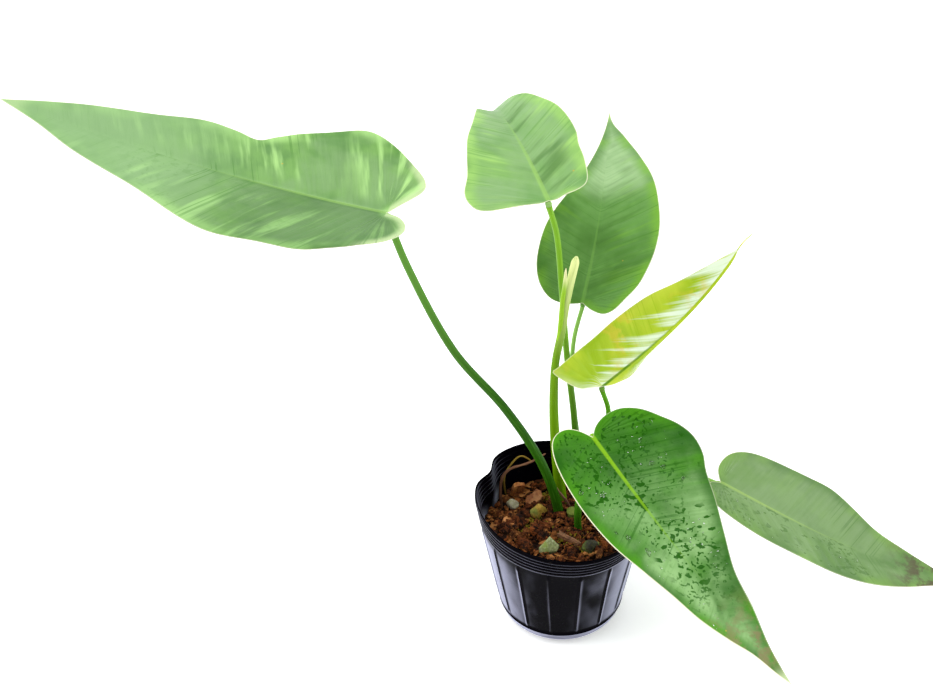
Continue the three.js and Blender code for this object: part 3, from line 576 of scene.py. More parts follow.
class LeafFinish(Finish):
    """A blade's finish. It knows each point's place on its side vein, from the midrib and from the margin."""

    def __init__(self, name, own_look):
        super().__init__(name)
        self.look = {**LEAF_DEFAULTS, **own_look}
        for tone in LEAF_TONES:
            self.look[tone] = paint(self.look[tone])
        self.vein, self.across, self.share = self.split(self.attribute("veins"))
        self.margin, self.under, self.side = self.split(self.attribute("edges"))
        self.where = self.place()
        patches = self.clouds(self.where, 34, 3, 0.36, 0.64, roughness=0.6)
        self.green = self.blend(patches, self.look["deep"], self.look["fresh"])

    def cover(self, amount, colour, kind="MIX"):
        """Lays a colour over what the blade has so far."""
        self.green = self.blend(amount, self.green, colour, kind)

    def veined(self, along, across):
        """A place for noise that is drawn out along the side veins and differs between the halves."""
        return self.vector(
            self.times(self.vein, along), self.times(self.across, across), self.times(self.side, HALVES_APART)
        )

    def add_painted_sheen(self):
        """A painted sheen: a dull grey reflection painted into the colour in patches, thinner at the margin
        and near the stalk.
        """
        look = self.look
        # Painted sheen: grey laid into the colour in patches, where the leaf would reflect the bright room.
        sheen_grey = self.times(
            self.clouds(
                self.where, 24, 3, 0.34, 0.58, look["sheen_grey_low"], 1.0, roughness=0.6, distortion=0.4
            ),
            self.ramp(self.margin, 0.5, 9.0, 0.25, 1.0),
            self.ramp(self.share, *look["sheen_grey_from"], look["foot"], 1.0),
            self.clouds(self.veined(0.42, 0.03), 1.0, 3, 0.3, 0.6, 0.78, 1.0),
            look["sheen_grey_amount"],
        )
        self.cover(sheen_grey, look["sheen_grey"])

    def add_bands(self):
        """Pale bands along the side veins, painted shade in the pleats of the right half, and a fresh green
        near the margin.
        """
        look = self.look
        band = self.times(
            self.clouds(self.veined(0.15, 0.02), 1.0, 3, 0.48, 0.68, roughness=0.55),
            self.ramp(self.across, 3.0, 20.0),
            self.clouds(self.where, 30, 1, 0.4, 0.6, 0.25, 1.0),
            look["bands"],
        )
        self.cover(band, look["bright"])
        near_edge = self.times(
            self.ramp(self.margin, 1.0, 9.0, 0.7, 0.0), self.clouds(self.where, 33, 2, 0.4, 0.6)
        )
        self.cover(near_edge, look["bright"])
        # Painted shade in the pleats: a darker green, mostly on the right half.
        pleat = self.times(
            self.clouds(self.veined(0.12, 0.025), 1.0, 2, 0.5, 0.7),
            self.ramp(self.side, 0.1, -0.1, 0.25, 1.0),
            self.ramp(self.margin, 3.0, 14.0),
            look["pleat_shade"],
        )
        self.cover(pleat, shaded(look["deep"], 0.6))

    def add_pale_ends(self):
        """Painted shade over the left half, a paler far part, and cream lobes and tip."""
        look = self.look
        # Painted shade over the left half near the stalk.
        half_shade = self.times(self.ramp(self.side, -0.1, 0.1, 0, look["half_shade"]), self.ramp(self.share, 0.6, 0.3))
        self.cover(half_shade, PAINTED_HALF_SHADE, "MULTIPLY")
        self.cover(self.ramp(self.share, 0.3, 0.75, 0, look["far"]), FAR_GREEN)
        lobes = self.times(self.ramp(self.vein, -16, -42), self.ramp(self.margin, 7, 1), look["cream"])
        tip = self.ramp(self.share, 0.93, 0.975, 0, look["tip"])
        self.cover(self.plus(lobes, tip), CREAM)

    def add_fine_lines(self):
        """Fine streaks and thin dark veins that run with the side veins. Gives back the streaks."""
        deep = self.look["deep"]
        streaks = self.noise(self.veined(1.3, 0.09), 1.0, 4, 0.6)
        self.cover(self.ramp(streaks, 0.5, 0.8, 0, 0.18), deep)
        line = self.vector(self.times(self.vein, 0.55), self.times(self.side, HALVES_APART), 0)
        thin_vein = self.times(
            self.clouds(line, 1.0, 0, 0.66, 0.675),
            self.clouds(self.where, 17, 1, 0.5, 0.56),
            self.ramp(self.share, 0.8, 0.6),
            0.5,
        )
        self.cover(thin_vein, deep)
        return streaks

    def add_painted_glints(self):
        """Painted glints on a young blade's left half: pale highlight streaks that start at the midrib and
        lean back.
        """
        lean = self.plus(self.vein, self.times(self.across, 2.0))
        drawn = self.times(self.across, 0.02)
        streak = self.plus(
            self.times(self.noise(self.vector(self.times(lean, 0.5), drawn, 5), 1.0, 2), 0.3),
            self.noise(self.vector(self.times(lean, 0.085), drawn, 3), 1.0, 2, 0.6),
            self.ramp(self.across, 0.0, 22.0, 0.11, -0.18),
            self.ramp(self.vein, 55, 90, 0, 0.07),
        )
        streak = self.ramp(streak, 0.64, 0.86, 0, self.look["glint_amount"])
        self.cover(self.times(streak, self.ramp(self.side, -0.1, 0.1)), GLINT_WHITE)

    def add_wet_marks(self):
        """Wet marks, a darker wet green laid over the painted grey sheen: small marks and a few larger ones.
        Gives back how wet.
        """
        look = self.look
        if look["wet"] == 0:
            return 0.0
        small = self.times(
            self.clouds(self.where, 460, 1, 0.585, 0.63),
            self.clouds(self.where, 36, 2, 0.4, 0.54, 0.12, 1.0),
        )
        uneven = self.stretch(self.where, (0.8, 1.2, 1.1))
        large = self.times(
            self.clouds(uneven, 190, 2, 0.6, 0.625, roughness=0.45),
            self.clouds(self.where, 27, 1, 0.42, 0.5),
        )
        wet = self.times(
            self.math("MAXIMUM", small, large),
            self.ramp(self.margin, 1.5, 5.0),
            self.ramp(self.share, 0.8, 0.6, 0.1, 1.0),
            look["wet"],
        )
        if look["wet_side"]:
            wet = self.times(wet, self.ramp(self.side, -0.1 * look["wet_side"], 0.1 * look["wet_side"]))
        self.cover(wet, shaded(look["deep"], 0.9))
        return wet

    def add_midrib(self):
        """The pale midrib, which narrows and fades towards the tip."""
        width = self.ramp(self.share, 0.0, 0.75, self.look["rib_width"], 0.25)
        middle = self.ramp(self.math("DIVIDE", self.across, width), 0.6, 1.3, 1.0, 0.0)
        fading = self.ramp(self.share, 0.12, 0.7, self.look["ribbed"], 0.0)
        self.cover(self.times(middle, fading), self.look["rib"])

    def add_stains(self):
        """Brown near an old tip, or patches on a young blade, and a few flecks."""
        look = self.look
        if look["stained"]:
            if look["glint_amount"]:
                old = self.clouds(self.where, 38, 2, 0.5, 0.66, 0.0, look["stained"])
            else:
                old = self.times(
                    self.ramp(self.share, 0.68, 0.85, 0.0, look["stained"]),
                    self.ramp(self.share, 0.97, 0.91, 0.15, 1.0),
                )
            spots = self.clouds(self.where, 110, 4, 0.42, 0.6, roughness=0.65)
            self.cover(self.times(old, spots), look["stain"])
        fleck = self.times(
            self.ramp(self.cells(self.where, 75), 0.035, 0.06, 1.0, 0.0),
            self.clouds(self.where, 19, 0, 0.56, 0.6),
            0.6,
        )
        self.cover(fleck, FLECK)

    def add_margin(self, colour):
        """The thin pale line along the margin."""
        edged = self.look["edged"]
        line = self.ramp(self.margin, 0.25, 0.65, edged, 0.0)
        if edged == 1:
            line = self.times(line, self.ramp(self.side, 0.1, -0.1, 0.3, 1.0))
        self.cover(line, colour)


def leaf_finish(name, own_look, margin_colour):
    """A leaf blade: greens that change along the side veins, a fading midrib, a pale margin, wet marks."""
    leaf = LeafFinish(name, own_look)
    leaf.add_painted_sheen()
    leaf.add_bands()
    leaf.add_pale_ends()
    streaks = leaf.add_fine_lines()
    if leaf.look["glint_amount"]:
        leaf.add_painted_glints()
    wet = leaf.add_wet_marks()
    leaf.add_midrib()
    leaf.add_stains()
    leaf.cover(leaf.times(leaf.under, 0.8), leaf.look["under"])
    leaf.add_margin(tuple(margin_colour))
    rough = leaf.plus(
        leaf.clouds(leaf.where, 60, 3, 0.3, 0.7, -0.06, 0.08), leaf.look["gloss"], leaf.times(leaf.under, 0.2)
    )
    rough = leaf.math("SUBTRACT", rough, leaf.times(wet, 0.22), clamped=True)
    height = leaf.plus(streaks, leaf.times(leaf.noise(leaf.where, 900, 2), 0.4))
    height = leaf.math("SUBTRACT", height, leaf.times(wet, 0.3))
    leaf.set(Base_Color=leaf.green, Roughness=rough, Specular_IOR_Level=0.08)
    leaf.set(Normal=leaf.bump(height, distance=0.00025, strength=0.35))
    return leaf.material


def stalk_finish(name, low, high, streak_colour, change=(0.1, 0.9), gloss=0.32):
    """A stalk or sheath, streaked lengthwise, whose colour changes from its foot to its top."""
    finish = Finish(name)
    grain = finish.attribute("grain")
    share = finish.split(finish.attribute("lengthwise"))[0]
    colour = finish.blend(finish.ramp(share, *change), low, high)
    streaks = finish.noise(finish.stretch(grain, (1.6, 1.6, 0.05)), 1.0, 3, 0.6)
    colour = finish.blend(finish.ramp(streaks, 0.52, 0.7, 0, 0.45), colour, streak_colour)
    specks = finish.noise(finish.stretch(grain, (4, 4, 1.6)), 1.0, 2)
    colour = finish.blend(finish.ramp(specks, 0.66, 0.74, 0, 0.25), colour, high)
    finish.set(Base_Color=colour, Roughness=finish.ramp(streaks, 0.3, 0.7, gloss, gloss + 0.12))
    finish.set(Specular_IOR_Level=0.06, Normal=finish.bump(streaks, distance=0.00035, strength=0.4))
    return finish.material


def pot_finish(colour):
    """Black blow-moulded plastic, a little scuffed, dusty at the rim, with a violet sheen at its sides."""
    finish = Finish("black_plastic")
    where = finish.place()
    height = finish.split(where)[2]
    cloud = finish.noise(where, 30, 3)
    scuffs = finish.noise(finish.stretch(where, (1, 1, 6)), 260, 3, 0.6)
    dust = finish.times(finish.clouds(where, 620, 2, 0.64, 0.74), finish.ramp(height, 0.05, 0.09, 0.0, 0.25))
    rough = finish.plus(finish.ramp(cloud, 0.3, 0.7, 0.2, 0.32), finish.ramp(scuffs, 0.55, 0.75, 0.0, 0.2))
    waver = finish.clouds(finish.stretch(where, (1, 1, 0.5)), 60, 2, 0.3, 0.7, -0.05, 0.05)
    away = finish.plus(finish.add("ShaderNodeLayerWeight").outputs["Facing"], waver)
    sheen = finish.times(finish.ramp(away, 0.5, 0.76), finish.ramp(height, 0.070, 0.076, 1.0, 0.3))
    finish.set(Base_Color=finish.blend(dust, tuple(colour), DUST), Roughness=rough, Specular_IOR_Level=0.012)
    finish.set(Sheen_Weight=sheen, Sheen_Roughness=0.5, Sheen_Tint=VIOLET)
    finish.set(Normal=finish.bump(finish.plus(cloud, scuffs), distance=0.0003, strength=0.12))
    return finish.material


def crumb_finish(name, dark, main, pale, scale, cell_scale=0):
    """A dry rough matter of three tones, with painted shade where the mesh marks cracks and hollows: soil,
    bark or moss.
    """
    finish = Finish(name)
    where = finish.place()
    coarse = finish.noise(where, scale, 4, 0.65)
    fine = finish.noise(where, scale * 6, 3, 0.6)
    colour = finish.blend(finish.ramp(coarse, 0.34, 0.52), dark, main)
    colour = finish.blend(finish.ramp(fine, 0.5, 0.72, 0, 0.8), colour, pale)
    if cell_scale:
        tone = finish.split(finish.cells(where, cell_scale, output=1))[0]
        colour = finish.blend(finish.ramp(tone, 0.55, 1.0, 0, 0.6), colour, pale)
        colour = finish.blend(finish.ramp(tone, 0.4, 0.0, 0, 0.7), colour, dark)
    # Painted shade: the mesh's marks darken cracks, hollows and the low sides of clods.
    painted_shade = finish.split(finish.attribute("painted_shade"))[0]
    colour = finish.blend(finish.ramp(painted_shade, 0.1, 0.9, 0, 0.92), colour, CREVICE_SHADE)
    finish.set(Base_Color=colour, Roughness=finish.ramp(fine, 0.3, 0.7, 0.73, 0.85), Specular_IOR_Level=0.1)
    height = finish.plus(fine, finish.times(coarse, 0.6))
    finish.set(Normal=finish.bump(height, distance=0.0012, strength=0.6))
    return finish.material


def stone_finish(name, dark, main, pale, growth_colour, amount):
    """A porous stone with patches of moss, algae or lime."""
    finish = Finish(name)
    where = finish.place()
    coarse = finish.noise(where, 160, 4, 0.6)
    fine = finish.noise(where, 900, 3, 0.6)
    colour = finish.blend(finish.ramp(coarse, 0.36, 0.6), dark, main)
    colour = finish.blend(finish.ramp(fine, 0.52, 0.7, 0, 0.8), colour, pale)
    growth = finish.times(finish.clouds(where, 120, 3, 0.62 - 0.24 * amount, 0.7), 0.85)
    colour = finish.blend(growth, colour, growth_colour)
    finish.set(Base_Color=colour, Roughness=finish.ramp(fine, 0.3, 0.7, 0.7, 0.9))
    finish.set(Normal=finish.bump(finish.plus(fine, coarse), distance=0.0009, strength=0.5))
    return finish.material


def bark_finish(name, dark, main, pale):
    """Dry bark with a grain that is drawn out along X."""
    finish = Finish(name)
    where = finish.place()
    grain = finish.noise(finish.stretch(where, (1.0, 2.2, 2.6)), 240, 4, 0.65, 0.4)
    colour = finish.blend(finish.ramp(grain, 0.34, 0.56), dark, main)
    colour = finish.blend(finish.clouds(where, 110, 2, 0.48, 0.66, 0, 0.75), colour, pale)
    finish.set(Base_Color=colour, Roughness=finish.ramp(grain, 0.3, 0.7, 0.72, 0.9))
    finish.set(Specular_IOR_Level=0.3, Normal=finish.bump(grain, distance=0.0009, strength=0.6))
    return finish.material


def water_finish():
    """Clear water."""
    finish = Finish("water")
    finish.set(Base_Color=(1, 1, 1, 1), Roughness=0.02, IOR=1.33, Transmission_Weight=1.0)
    return finish.material


def new_object(bm, name):
    """Turns a bmesh into an object of the scene."""
    mesh = bpy.data.meshes.new(name)
    bm.to_mesh(mesh)
    bm.free()
    made = bpy.data.objects.new(name, mesh)
    bpy.context.scene.collection.objects.link(made)
    return made


def finish_piece(bm, name, material, nodes=(), sharp=None):
    """Turns a bmesh in millimetres into an object in metres that rides on the plant."""
    bmesh.ops.scale(bm, vec=(MM, MM, MM), verts=bm.verts)
    bmesh.ops.recalc_face_normals(bm, faces=bm.faces)
    piece = new_object(bm, name)
    piece.data.shade_smooth()
    if sharp is not None:
        piece.data.set_sharp_from_angle(angle=math.radians(sharp))
    piece.data.materials.append(material)
    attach(piece, "root")
    if nodes:
        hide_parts(*nodes)
    return piece


def bent_sheet(bm, columns, rows, place):
    """A grid of faces whose corners are moved to place(column, row)."""
    made = bmesh.ops.create_grid(bm, x_segments=columns, y_segments=rows, size=0.5)
    for vert in made["verts"]:
        column = round((vert.co.x + 0.5) * columns)
        row = round((vert.co.y + 0.5) * rows)
        place(vert, column, row)
    return made["verts"]


def close_up(bm, distance=1e-4):
    """Merges the seam and the poles, and fills what stays open."""
    bmesh.ops.remove_doubles(bm, verts=bm.verts, dist=distance)
    bmesh.ops.dissolve_degenerate(bm, edges=bm.edges, dist=distance)
    open_edges = [edge for edge in bm.edges if edge.is_boundary]
    if open_edges:
        bmesh.ops.holes_fill(bm, edges=open_edges, sides=0)


def even_points(points, count):
    """Points at even distances along a polyline, and the polyline's length."""
    lengths = [0.0]
    for a, b in zip(points, points[1:]):
        lengths.append(lengths[-1] + (b - a).length)
    found = []
    k = 0
    for step in range(count + 1):
        wanted = lengths[-1] * step / count
        while k < len(points) - 2 and lengths[k + 1] < wanted:
            k += 1
        share = (wanted - lengths[k]) / max(1e-9, lengths[k + 1] - lengths[k])
        found.append(points[k].lerp(points[k + 1], share))
    return found, lengths[-1]


def bow(a, b, leave, arrive, steps):
    """Points along a smooth curve from a to b that leaves and arrives in the given directions."""
    square = -3 * a + 3 * b - 2 * leave - arrive
    cube = 2 * a - 2 * b + leave + arrive
    return [a + leave * t + square * t * t + cube * t * t * t for t in shares(steps)[1:]]


def smooth_path(points, count):
    """Even points along a smooth curve through the given ones, its knots spaced by root distance."""
    points = [Vector(p) for p in points]
    ends = [2 * points[0] - points[1], *points, 2 * points[-1] - points[-2]]
    dense = [points[0]]
    for p0, p1, p2, p3 in zip(ends, ends[1:], ends[2:], ends[3:]):
        d0, d1, d2 = [math.sqrt((b - a).length) for a, b in ((p0, p1), (p1, p2), (p2, p3))]
        leave = ((p1 - p0) / d0 - (p2 - p0) / (d0 + d1) + (p2 - p1) / d1) * d1
        arrive = ((p2 - p1) / d1 - (p3 - p1) / (d1 + d2) + (p3 - p2) / d2) * d1
        dense += bow(p1, p2, leave, arrive, PATH_STEPS)
    return even_points(dense, count)


def path_frames(points):
    """For each point of a path, two directions across it that turn as little as they can."""
    tangents = []
    for k in range(len(points)):
        tangents.append((points[min(k + 1, len(points) - 1)] - points[max(k - 1, 0)]).normalized())
    normal = tangents[0].orthogonal().normalized()
    frames = []
    for k, tangent in enumerate(tangents):
        if k:
            normal = tangents[k - 1].rotation_difference(tangent) @ normal
        normal = (normal - tangent * normal.dot(tangent)).normalized()
        frames.append((normal, tangent.cross(normal)))
    return frames


def layer_of(layers, name):
    """A layer of marks on the vertices, made if there is none of this name."""
    return layers.get(name) or layers.new(name)


def tube(bm, path, radius_at, sides, rings):
    """A closed tube along a path. radius_at takes the share of the length and the angle round it."""
    points, length = smooth_path(path, rings)
    frames = path_frames(points)
    grain = layer_of(bm.verts.layers.float_vector, "grain")
    lengthwise = layer_of(bm.verts.layers.float_vector, "lengthwise")

    def place(vert, column, row):
        angle = 2 * math.pi * column / sides
        share = row / rings
        radius = radius_at(share, angle)
        normal, side = frames[row]
        x, y = radius * math.cos(angle), radius * math.sin(angle)
        vert.co = points[row] + normal * x + side * y
        vert[grain] = (x, y, length * share)
        vert[lengthwise] = (share, angle, 0)

    return bent_sheet(bm, sides, rings, place)


def closed_tube(path, radius_at, sides, rings):
    """A tube on its own, with closed ends."""
    bm = bmesh.new()
    tube(bm, path, radius_at, sides, rings)
    close_up(bm)
    return bm


def blunt(share, end, past=1.01):
    """Rounds the end of a tube: 1 along most of it, and near 0 at its tip."""
    return math.sqrt(clamp((past - share) / end))


def spun(profile, layer_name, start, steps):
    """A profile of radius, height and mark spun round the upright axis, with the marks on a layer."""
    bm = bmesh.new()
    layer = bm.verts.layers.float.new(layer_name)
    outline = []
    for radius, z, mark in profile:
        vert = bm.verts.new((radius * math.cos(start), radius * math.sin(start), z))
        vert[layer] = mark
        outline.append(vert)
    edges = [bm.edges.new(pair) for pair in zip(outline, outline[1:])]
    bmesh.ops.spin(
        bm, geom=[*outline, *edges], axis=(0, 0, 1), cent=(0, 0, 0), angle=2 * math.pi,
        steps=steps, use_merge=True, use_normal_flip=False, use_duplicate=False,
    )
    close_up(bm, distance=0.03)
    return bm, layer


def chance(i, j, seed):
    """A repeatable number from 0 to 1 for two whole numbers and a seed, as in the part's source."""
    h = (i * 374761393 + j * 668265263 + seed * 1442695041) & 0xFFFFFFFF
    h = ((h ^ (h >> 13)) * 1274126177) & 0xFFFFFFFF
    return (h ^ (h >> 16)) / 4294967296


def plane_noise(x, y, seed):
    """Smooth noise from 0 to 1 over the plane, as in the part's source."""
    i, j = math.floor(x), math.floor(y)
    fx, fy = ease(0, 1, x - i), ease(0, 1, y - j)
    near = lerp(chance(i, j, seed), chance(i + 1, j, seed), fx)
    far = lerp(chance(i, j + 1, seed), chance(i + 1, j + 1, seed), fx)
    return lerp(near, far, fy)


def pot_shape(angle, z, pot):
    """How far the soft wall has moved from round, as a share of its radius."""
    height = clamp(z * MM / pot.height)
    turn = (angle - DENT_ANGLE + 540) % 360 - 180
    dent = DENT_SHARE * math.exp(-((turn / DENT_HALF_ANGLE) ** 2))
    oval = OVAL_SHARE * math.cos(math.radians(2 * (angle - OVAL_ANGLE)))
    return 1 + (oval - dent) * height * height


def wall_radius(z, pot):
    """Outer radius of the pot at a height, without ribs or rings."""
    return pot.foot_radius / MM + POT_TAPER * z


def ring_bulge(z, pot):
    """How far the fine rings stand out at a height."""
    turns = (z - RING_START) / RING_PITCH
    if not 0 <= turns <= pot.ring_count:
        return 0.0
    return pot.ring_height / MM * math.sin(math.pi * (turns % 1)) ** 0.7


def pot_profile(pot):
    """Radius, height and share of rib of each row of the pot, from the pad under it, up, in and down."""
    wall = pot.wall / MM
    height = pot.height / MM
    inner, outer = FOOT_RING
    floor = FOOT_RECESS + wall
    # A row of the foot is a radius and a height. A row of the bead or lip is the height at which the wall's
    # radius is taken, how far outside it the row lies, and its own height. The lip counts from the rim.
    foot = [(0.02, 0), (FOOT_BOSS, 0), (FOOT_BOSS + 0.5, 0.2), (FOOT_BOSS + 1.5, FOOT_RECESS)]
    foot += [(inner - 1.5, FOOT_RECESS), (inner - 0.3, 0.15), (inner, 0), (outer, 0), (31.6, 0.2)]
    foot += [(33.2, 0.8), (34.4, 1.5), (35.7, 2.5), (36.6, 3.5), (37.2, 4.6)]
    bead = [(6, 0, 6), (9, 0, 9), (9.5, 0.45, 9.6), (10.5, 0.7, 10.5), (11.2, 0.3, 11.3)]
    lip = [(-0.8, 0.25, -0.7), (0, 0.05, -0.15), (0, -0.3, 0), (0, 0.25 - wall, -0.05), (0, -wall, -0.4)]
    rows = [(radius, z, 0) for radius, z in foot]
    rows += [(wall_radius(z, pot) + out, at, 0) for z, out, at in bead]
    for share in shares(25):
        z = lerp(*RIB_SPAN, share)
        rib = ease(0, 3, z - RIB_SPAN[0]) * ease(0, 2, RIB_SPAN[1] - z)
        rows.append((wall_radius(z, pot), z, rib))
    for k in range(pot.ring_count * 8 + 1):
        z = RING_START + RING_PITCH * k / 8
        rows.append((wall_radius(z, pot) + ring_bulge(z, pot), z, 0))
    rows += [(wall_radius(height + z, pot) + out, height + at, 0) for z, out, at in lip]
    for k in range(pot.ring_count * 6, -1, -1):
        z = RING_START + RING_PITCH * k / 6
        rows.append((wall_radius(z, pot) - wall + 0.6 * ring_bulge(z, pot), z, 0))
    rows += [(wall_radius(z, pot) - wall, z, 0) for z in (72, 66, 58, 50, 43, 35, 27, 19, 12)]
    return rows + [(36, 5.4, 0), (33.6, 2.6, 0), (inner - 1.5, floor, 0), (0.02, floor, 0)]


def make_pot_mesh(pot):
    """The pot: a profile spun round its axis, then given its ribs, oval, dent and sagging rim."""
    bm, share = spun(pot_profile(pot), "share", math.radians(RIB_PHASE), POT_STEPS)
    for vert in bm.verts:
        radius, z = math.hypot(vert.co.x, vert.co.y), vert.co.z
        if radius < 0.1:
            continue
        angle = math.degrees(math.atan2(vert.co.y, vert.co.x))
        nearest = (angle - RIB_PHASE + 720) % (360 / RIB_COUNT)
        off = min(nearest, 360 / RIB_COUNT - nearest)
        rib = vert[share] * max(0.0, 1 - off / (1.1 * RIB_HALF_ANGLE)) * pot.rib_height / MM
        flutter = FLUTTER * noise.noise((vert.co.x / 22, vert.co.y / 22, z / 35)) * clamp(z / 40)
        r = (radius + rib + flutter) * pot_shape(angle, z, pot)
        a = math.radians(angle)
        lift = -RIM_TILT * math.cos(a) * (z * MM / pot.height) ** 3
        vert.co = (r * math.cos(a), r * math.sin(a), z + lift)
    return bm


def drill_drains(piece):
    """Cuts the drain holes through the pot's floor."""
    bm = bmesh.new()
    for k in range(DRAIN_COUNT):
        a = 2 * math.pi * k / DRAIN_COUNT
        middle = (DRAIN_CIRCLE * math.cos(a), DRAIN_CIRCLE * math.sin(a), 2)
        bmesh.ops.create_cone(
            bm, cap_ends=True, segments=32, radius1=DRAIN_RADIUS, radius2=DRAIN_RADIUS, depth=10,
            matrix=Matrix.Translation(middle),
        )
    bmesh.ops.scale(bm, vec=(MM, MM, MM), verts=bm.verts)
    cutter = new_object(bm, "drain_cutter")
    cut = piece.modifiers.new("drains", "BOOLEAN")
    cut.operation = "DIFFERENCE"
    cut.solver = "EXACT"
    cut.object = cutter
    graph = bpy.context.evaluated_depsgraph_get()
    drilled = bpy.data.meshes.new_from_object(piece.evaluated_get(graph))
    piece.modifiers.clear()
    piece.data = drilled
    drilled.set_sharp_from_angle(angle=math.radians(40))
    bpy.data.objects.remove(cutter)


def soil_height(x, y):
    """Height of the soil, as in the part's source."""
    coarse = plane_noise(x / SOIL_CLOD + 20, y / SOIL_CLOD + 20, 3) - 0.5
    fine = plane_noise(x / (0.45 * SOIL_CLOD) + 50, y / (0.45 * SOIL_CLOD) + 50, 5) - 0.5
    return SOIL_LEVEL + SOIL_SLOPE * y + SOIL_RELIEF * (2 * coarse + fine)


def soil_edge(angle, z, pot):
    """Radius of the soil's side at an angle and height."""
    inside = wall_radius(z, pot) - pot.wall / MM
    return inside * pot_shape(angle, z, pot) - SOIL_GAP


def make_soil_mesh(pot):
    """The soil: a spun block whose top is a crumbly slope, marked for painted shade in its cracks and low
    hollows.
    """
    low = FOOT_RECESS + pot.wall / MM + SOIL_GAP
    # A row's mark is -2 at the side, -1 underneath, and on top its share of the soil's radius.
    profile = [(0.02, low, -1), (31, low, -1)]
    profile += [(soil_edge(60, z, pot), z, -2) for z in (9, 22, 35, 44, 52, 58, 64)]
    profile += [(40 * share + 0.01, SOIL_LEVEL, share) for share in reversed(shares(SOIL_RINGS))]
    bm, ring = spun(profile, "ring", 0, SOIL_STEPS)
    # Marks for painted shade in the cracks and low hollows of the top.
    painted_shade = bm.verts.layers.float_vector.new("painted_shade")
    for vert in bm.verts:
        a = math.atan2(vert.co.y, vert.co.x)
        share = vert[ring]
        if share < -1.5:
            r = soil_edge(math.degrees(a), vert.co.z, pot) * (0.965 if vert.co.z < 10 else 1)
            vert.co.x, vert.co.y = r * math.cos(a), r * math.sin(a)
        elif share > -0.5:
            r = soil_edge(math.degrees(a), SOIL_LEVEL, pot) * share
            x, y = r * math.cos(a), r * math.sin(a)
            calm = lerp(1, 0.4, ease(0.94, 1, share))
            z = lerp(SOIL_LEVEL + SOIL_SLOPE * y, soil_height(x, y), calm)
            spot = Vector((x, y, 0))
            lump = 2.1 * noise.noise(spot / 4.6) + 0.9 * noise.noise(spot / 1.6)
            crack = 1 - ease(0, 0.16, abs(noise.noise(spot / 5.5 + Vector((9, 3, 1)))))
            vert.co = (x, y, z + lump - 0.7 - 1.1 * crack)
            vert[painted_shade] = (clamp(crack + ease(0.4, -1.4, lump)), 0, 0)
    return bm


def scattered(rng, count, pot, reach=0.97):
    """Places on the soil, spread evenly."""
    found = []
    while len(found) < count:
        angle = rng.uniform(-180, 180)
        r = math.sqrt(rng.random()) * reach
        a = math.radians(angle)
        r *= soil_edge(angle, SOIL_LEVEL, pot)
        x, y = r * math.cos(a), r * math.sin(a)
        found.append(Vector((x, y, soil_height(x, y))))
    return found


def add_lump(bm, rng, place, size, turn, rough=0.25):
    """One crumb: a coarse ball of 24 faces, made boxy and uneven."""
    made = bmesh.ops.create_uvsphere(bm, u_segments=6, v_segments=4, radius=0.5)
    for vert in made["verts"]:
        spot = Vector([math.copysign(abs(part / 0.5) ** 0.7 / 2, part) for part in vert.co])
        spot *= 1 + rng.uniform(-rough, rough)
        vert.co = place + turn @ Vector([a * b for a, b in zip(spot, size)])


def random_turn(rng, tilt=180):
    """A random turn about +Z after a random tilt in degrees."""
    lean = Matrix.Rotation(math.radians(rng.uniform(-tilt, tilt)), 3, "X")
    roll = Matrix.Rotation(math.radians(rng.uniform(-tilt, tilt)), 3, "Y")
    spin = Matrix.Rotation(rng.uniform(0, 2 * math.pi), 3, "Z")
    return spin @ lean @ roll


def make_crumbs(soil, pot):
    """Loose coir crumbs."""
    rng = random.Random(SEEDS["crumbs"])
    bm = bmesh.new()
    for place in scattered(rng, soil.crumbs, pot):
        size = rng.uniform(0.9, 2.3) * rng.choice((0.6, 0.8, 1, 1.4, 2.1))
        sizes = (size * rng.uniform(0.8, 1.7), size, size * rng.uniform(0.5, 0.9))
        add_lump(bm, rng, place + Vector((0, 0, 0.2 * size)), sizes, random_turn(rng, 40))
    return bm


def make_clods(soil, pot):
    """Large craggy clods of coir, half buried in the rest, marked for painted shade in their cracks and low
    sides.
    """
    rng = random.Random(SEEDS["clods"])
    bm = bmesh.new()
    painted_shade = bm.verts.layers.float_vector.new("painted_shade")
    for place in scattered(rng, soil.clods, pot, 0.9):
        size = rng.uniform(3.5, 9)
        sizes = (size * rng.uniform(0.9, 1.4), size, size * rng.uniform(0.55, 0.8))
        turn = random_turn(rng, 40)
        made = bmesh.ops.create_icosphere(bm, subdivisions=4, radius=0.5)
        for vert in made["verts"]:
            spot = place + turn @ Vector([a * b for a, b in zip(vert.co, sizes)])
            craggy = noise.noise(spot / 2.6) + 0.6 * noise.noise(spot / 1.1)
            crack = 1 - ease(0, 0.14, abs(noise.noise(spot / 2.2 + Vector((4, 7, 2)))))
            out = (spot - place).normalized()
            # Painted shade marks: cracks, the hollows of the crag and the clod's low side.
            deep = ease(0.1, -0.7, craggy) + ease(0.12, -0.3, (spot.z - place.z) / size)
            vert[painted_shade] = (clamp(0.8 * crack + deep), 0, 0)
            vert.co = spot + out * (0.9 * craggy - 0.7 * crack) + Vector((0, 0, 0.14 * size))
    return bm


def make_flakes(soil, pot):
    """Small bark flakes lying at all angles."""
    rng = random.Random(SEEDS["flakes"])
    bm = bmesh.new()
    for place in scattered(rng, soil.flakes, pot, 0.95):
        length = rng.uniform(2.5, 7) * rng.choice((0.8, 1, 1.7))
        sizes = (length, length * rng.uniform(0.3, 0.6), rng.uniform(0.6, 1.4))
        turn = random_turn(rng, 35)
        add_lump(bm, rng, place + Vector((0, 0, 0.8)), sizes, turn, 0.2)
    return bm


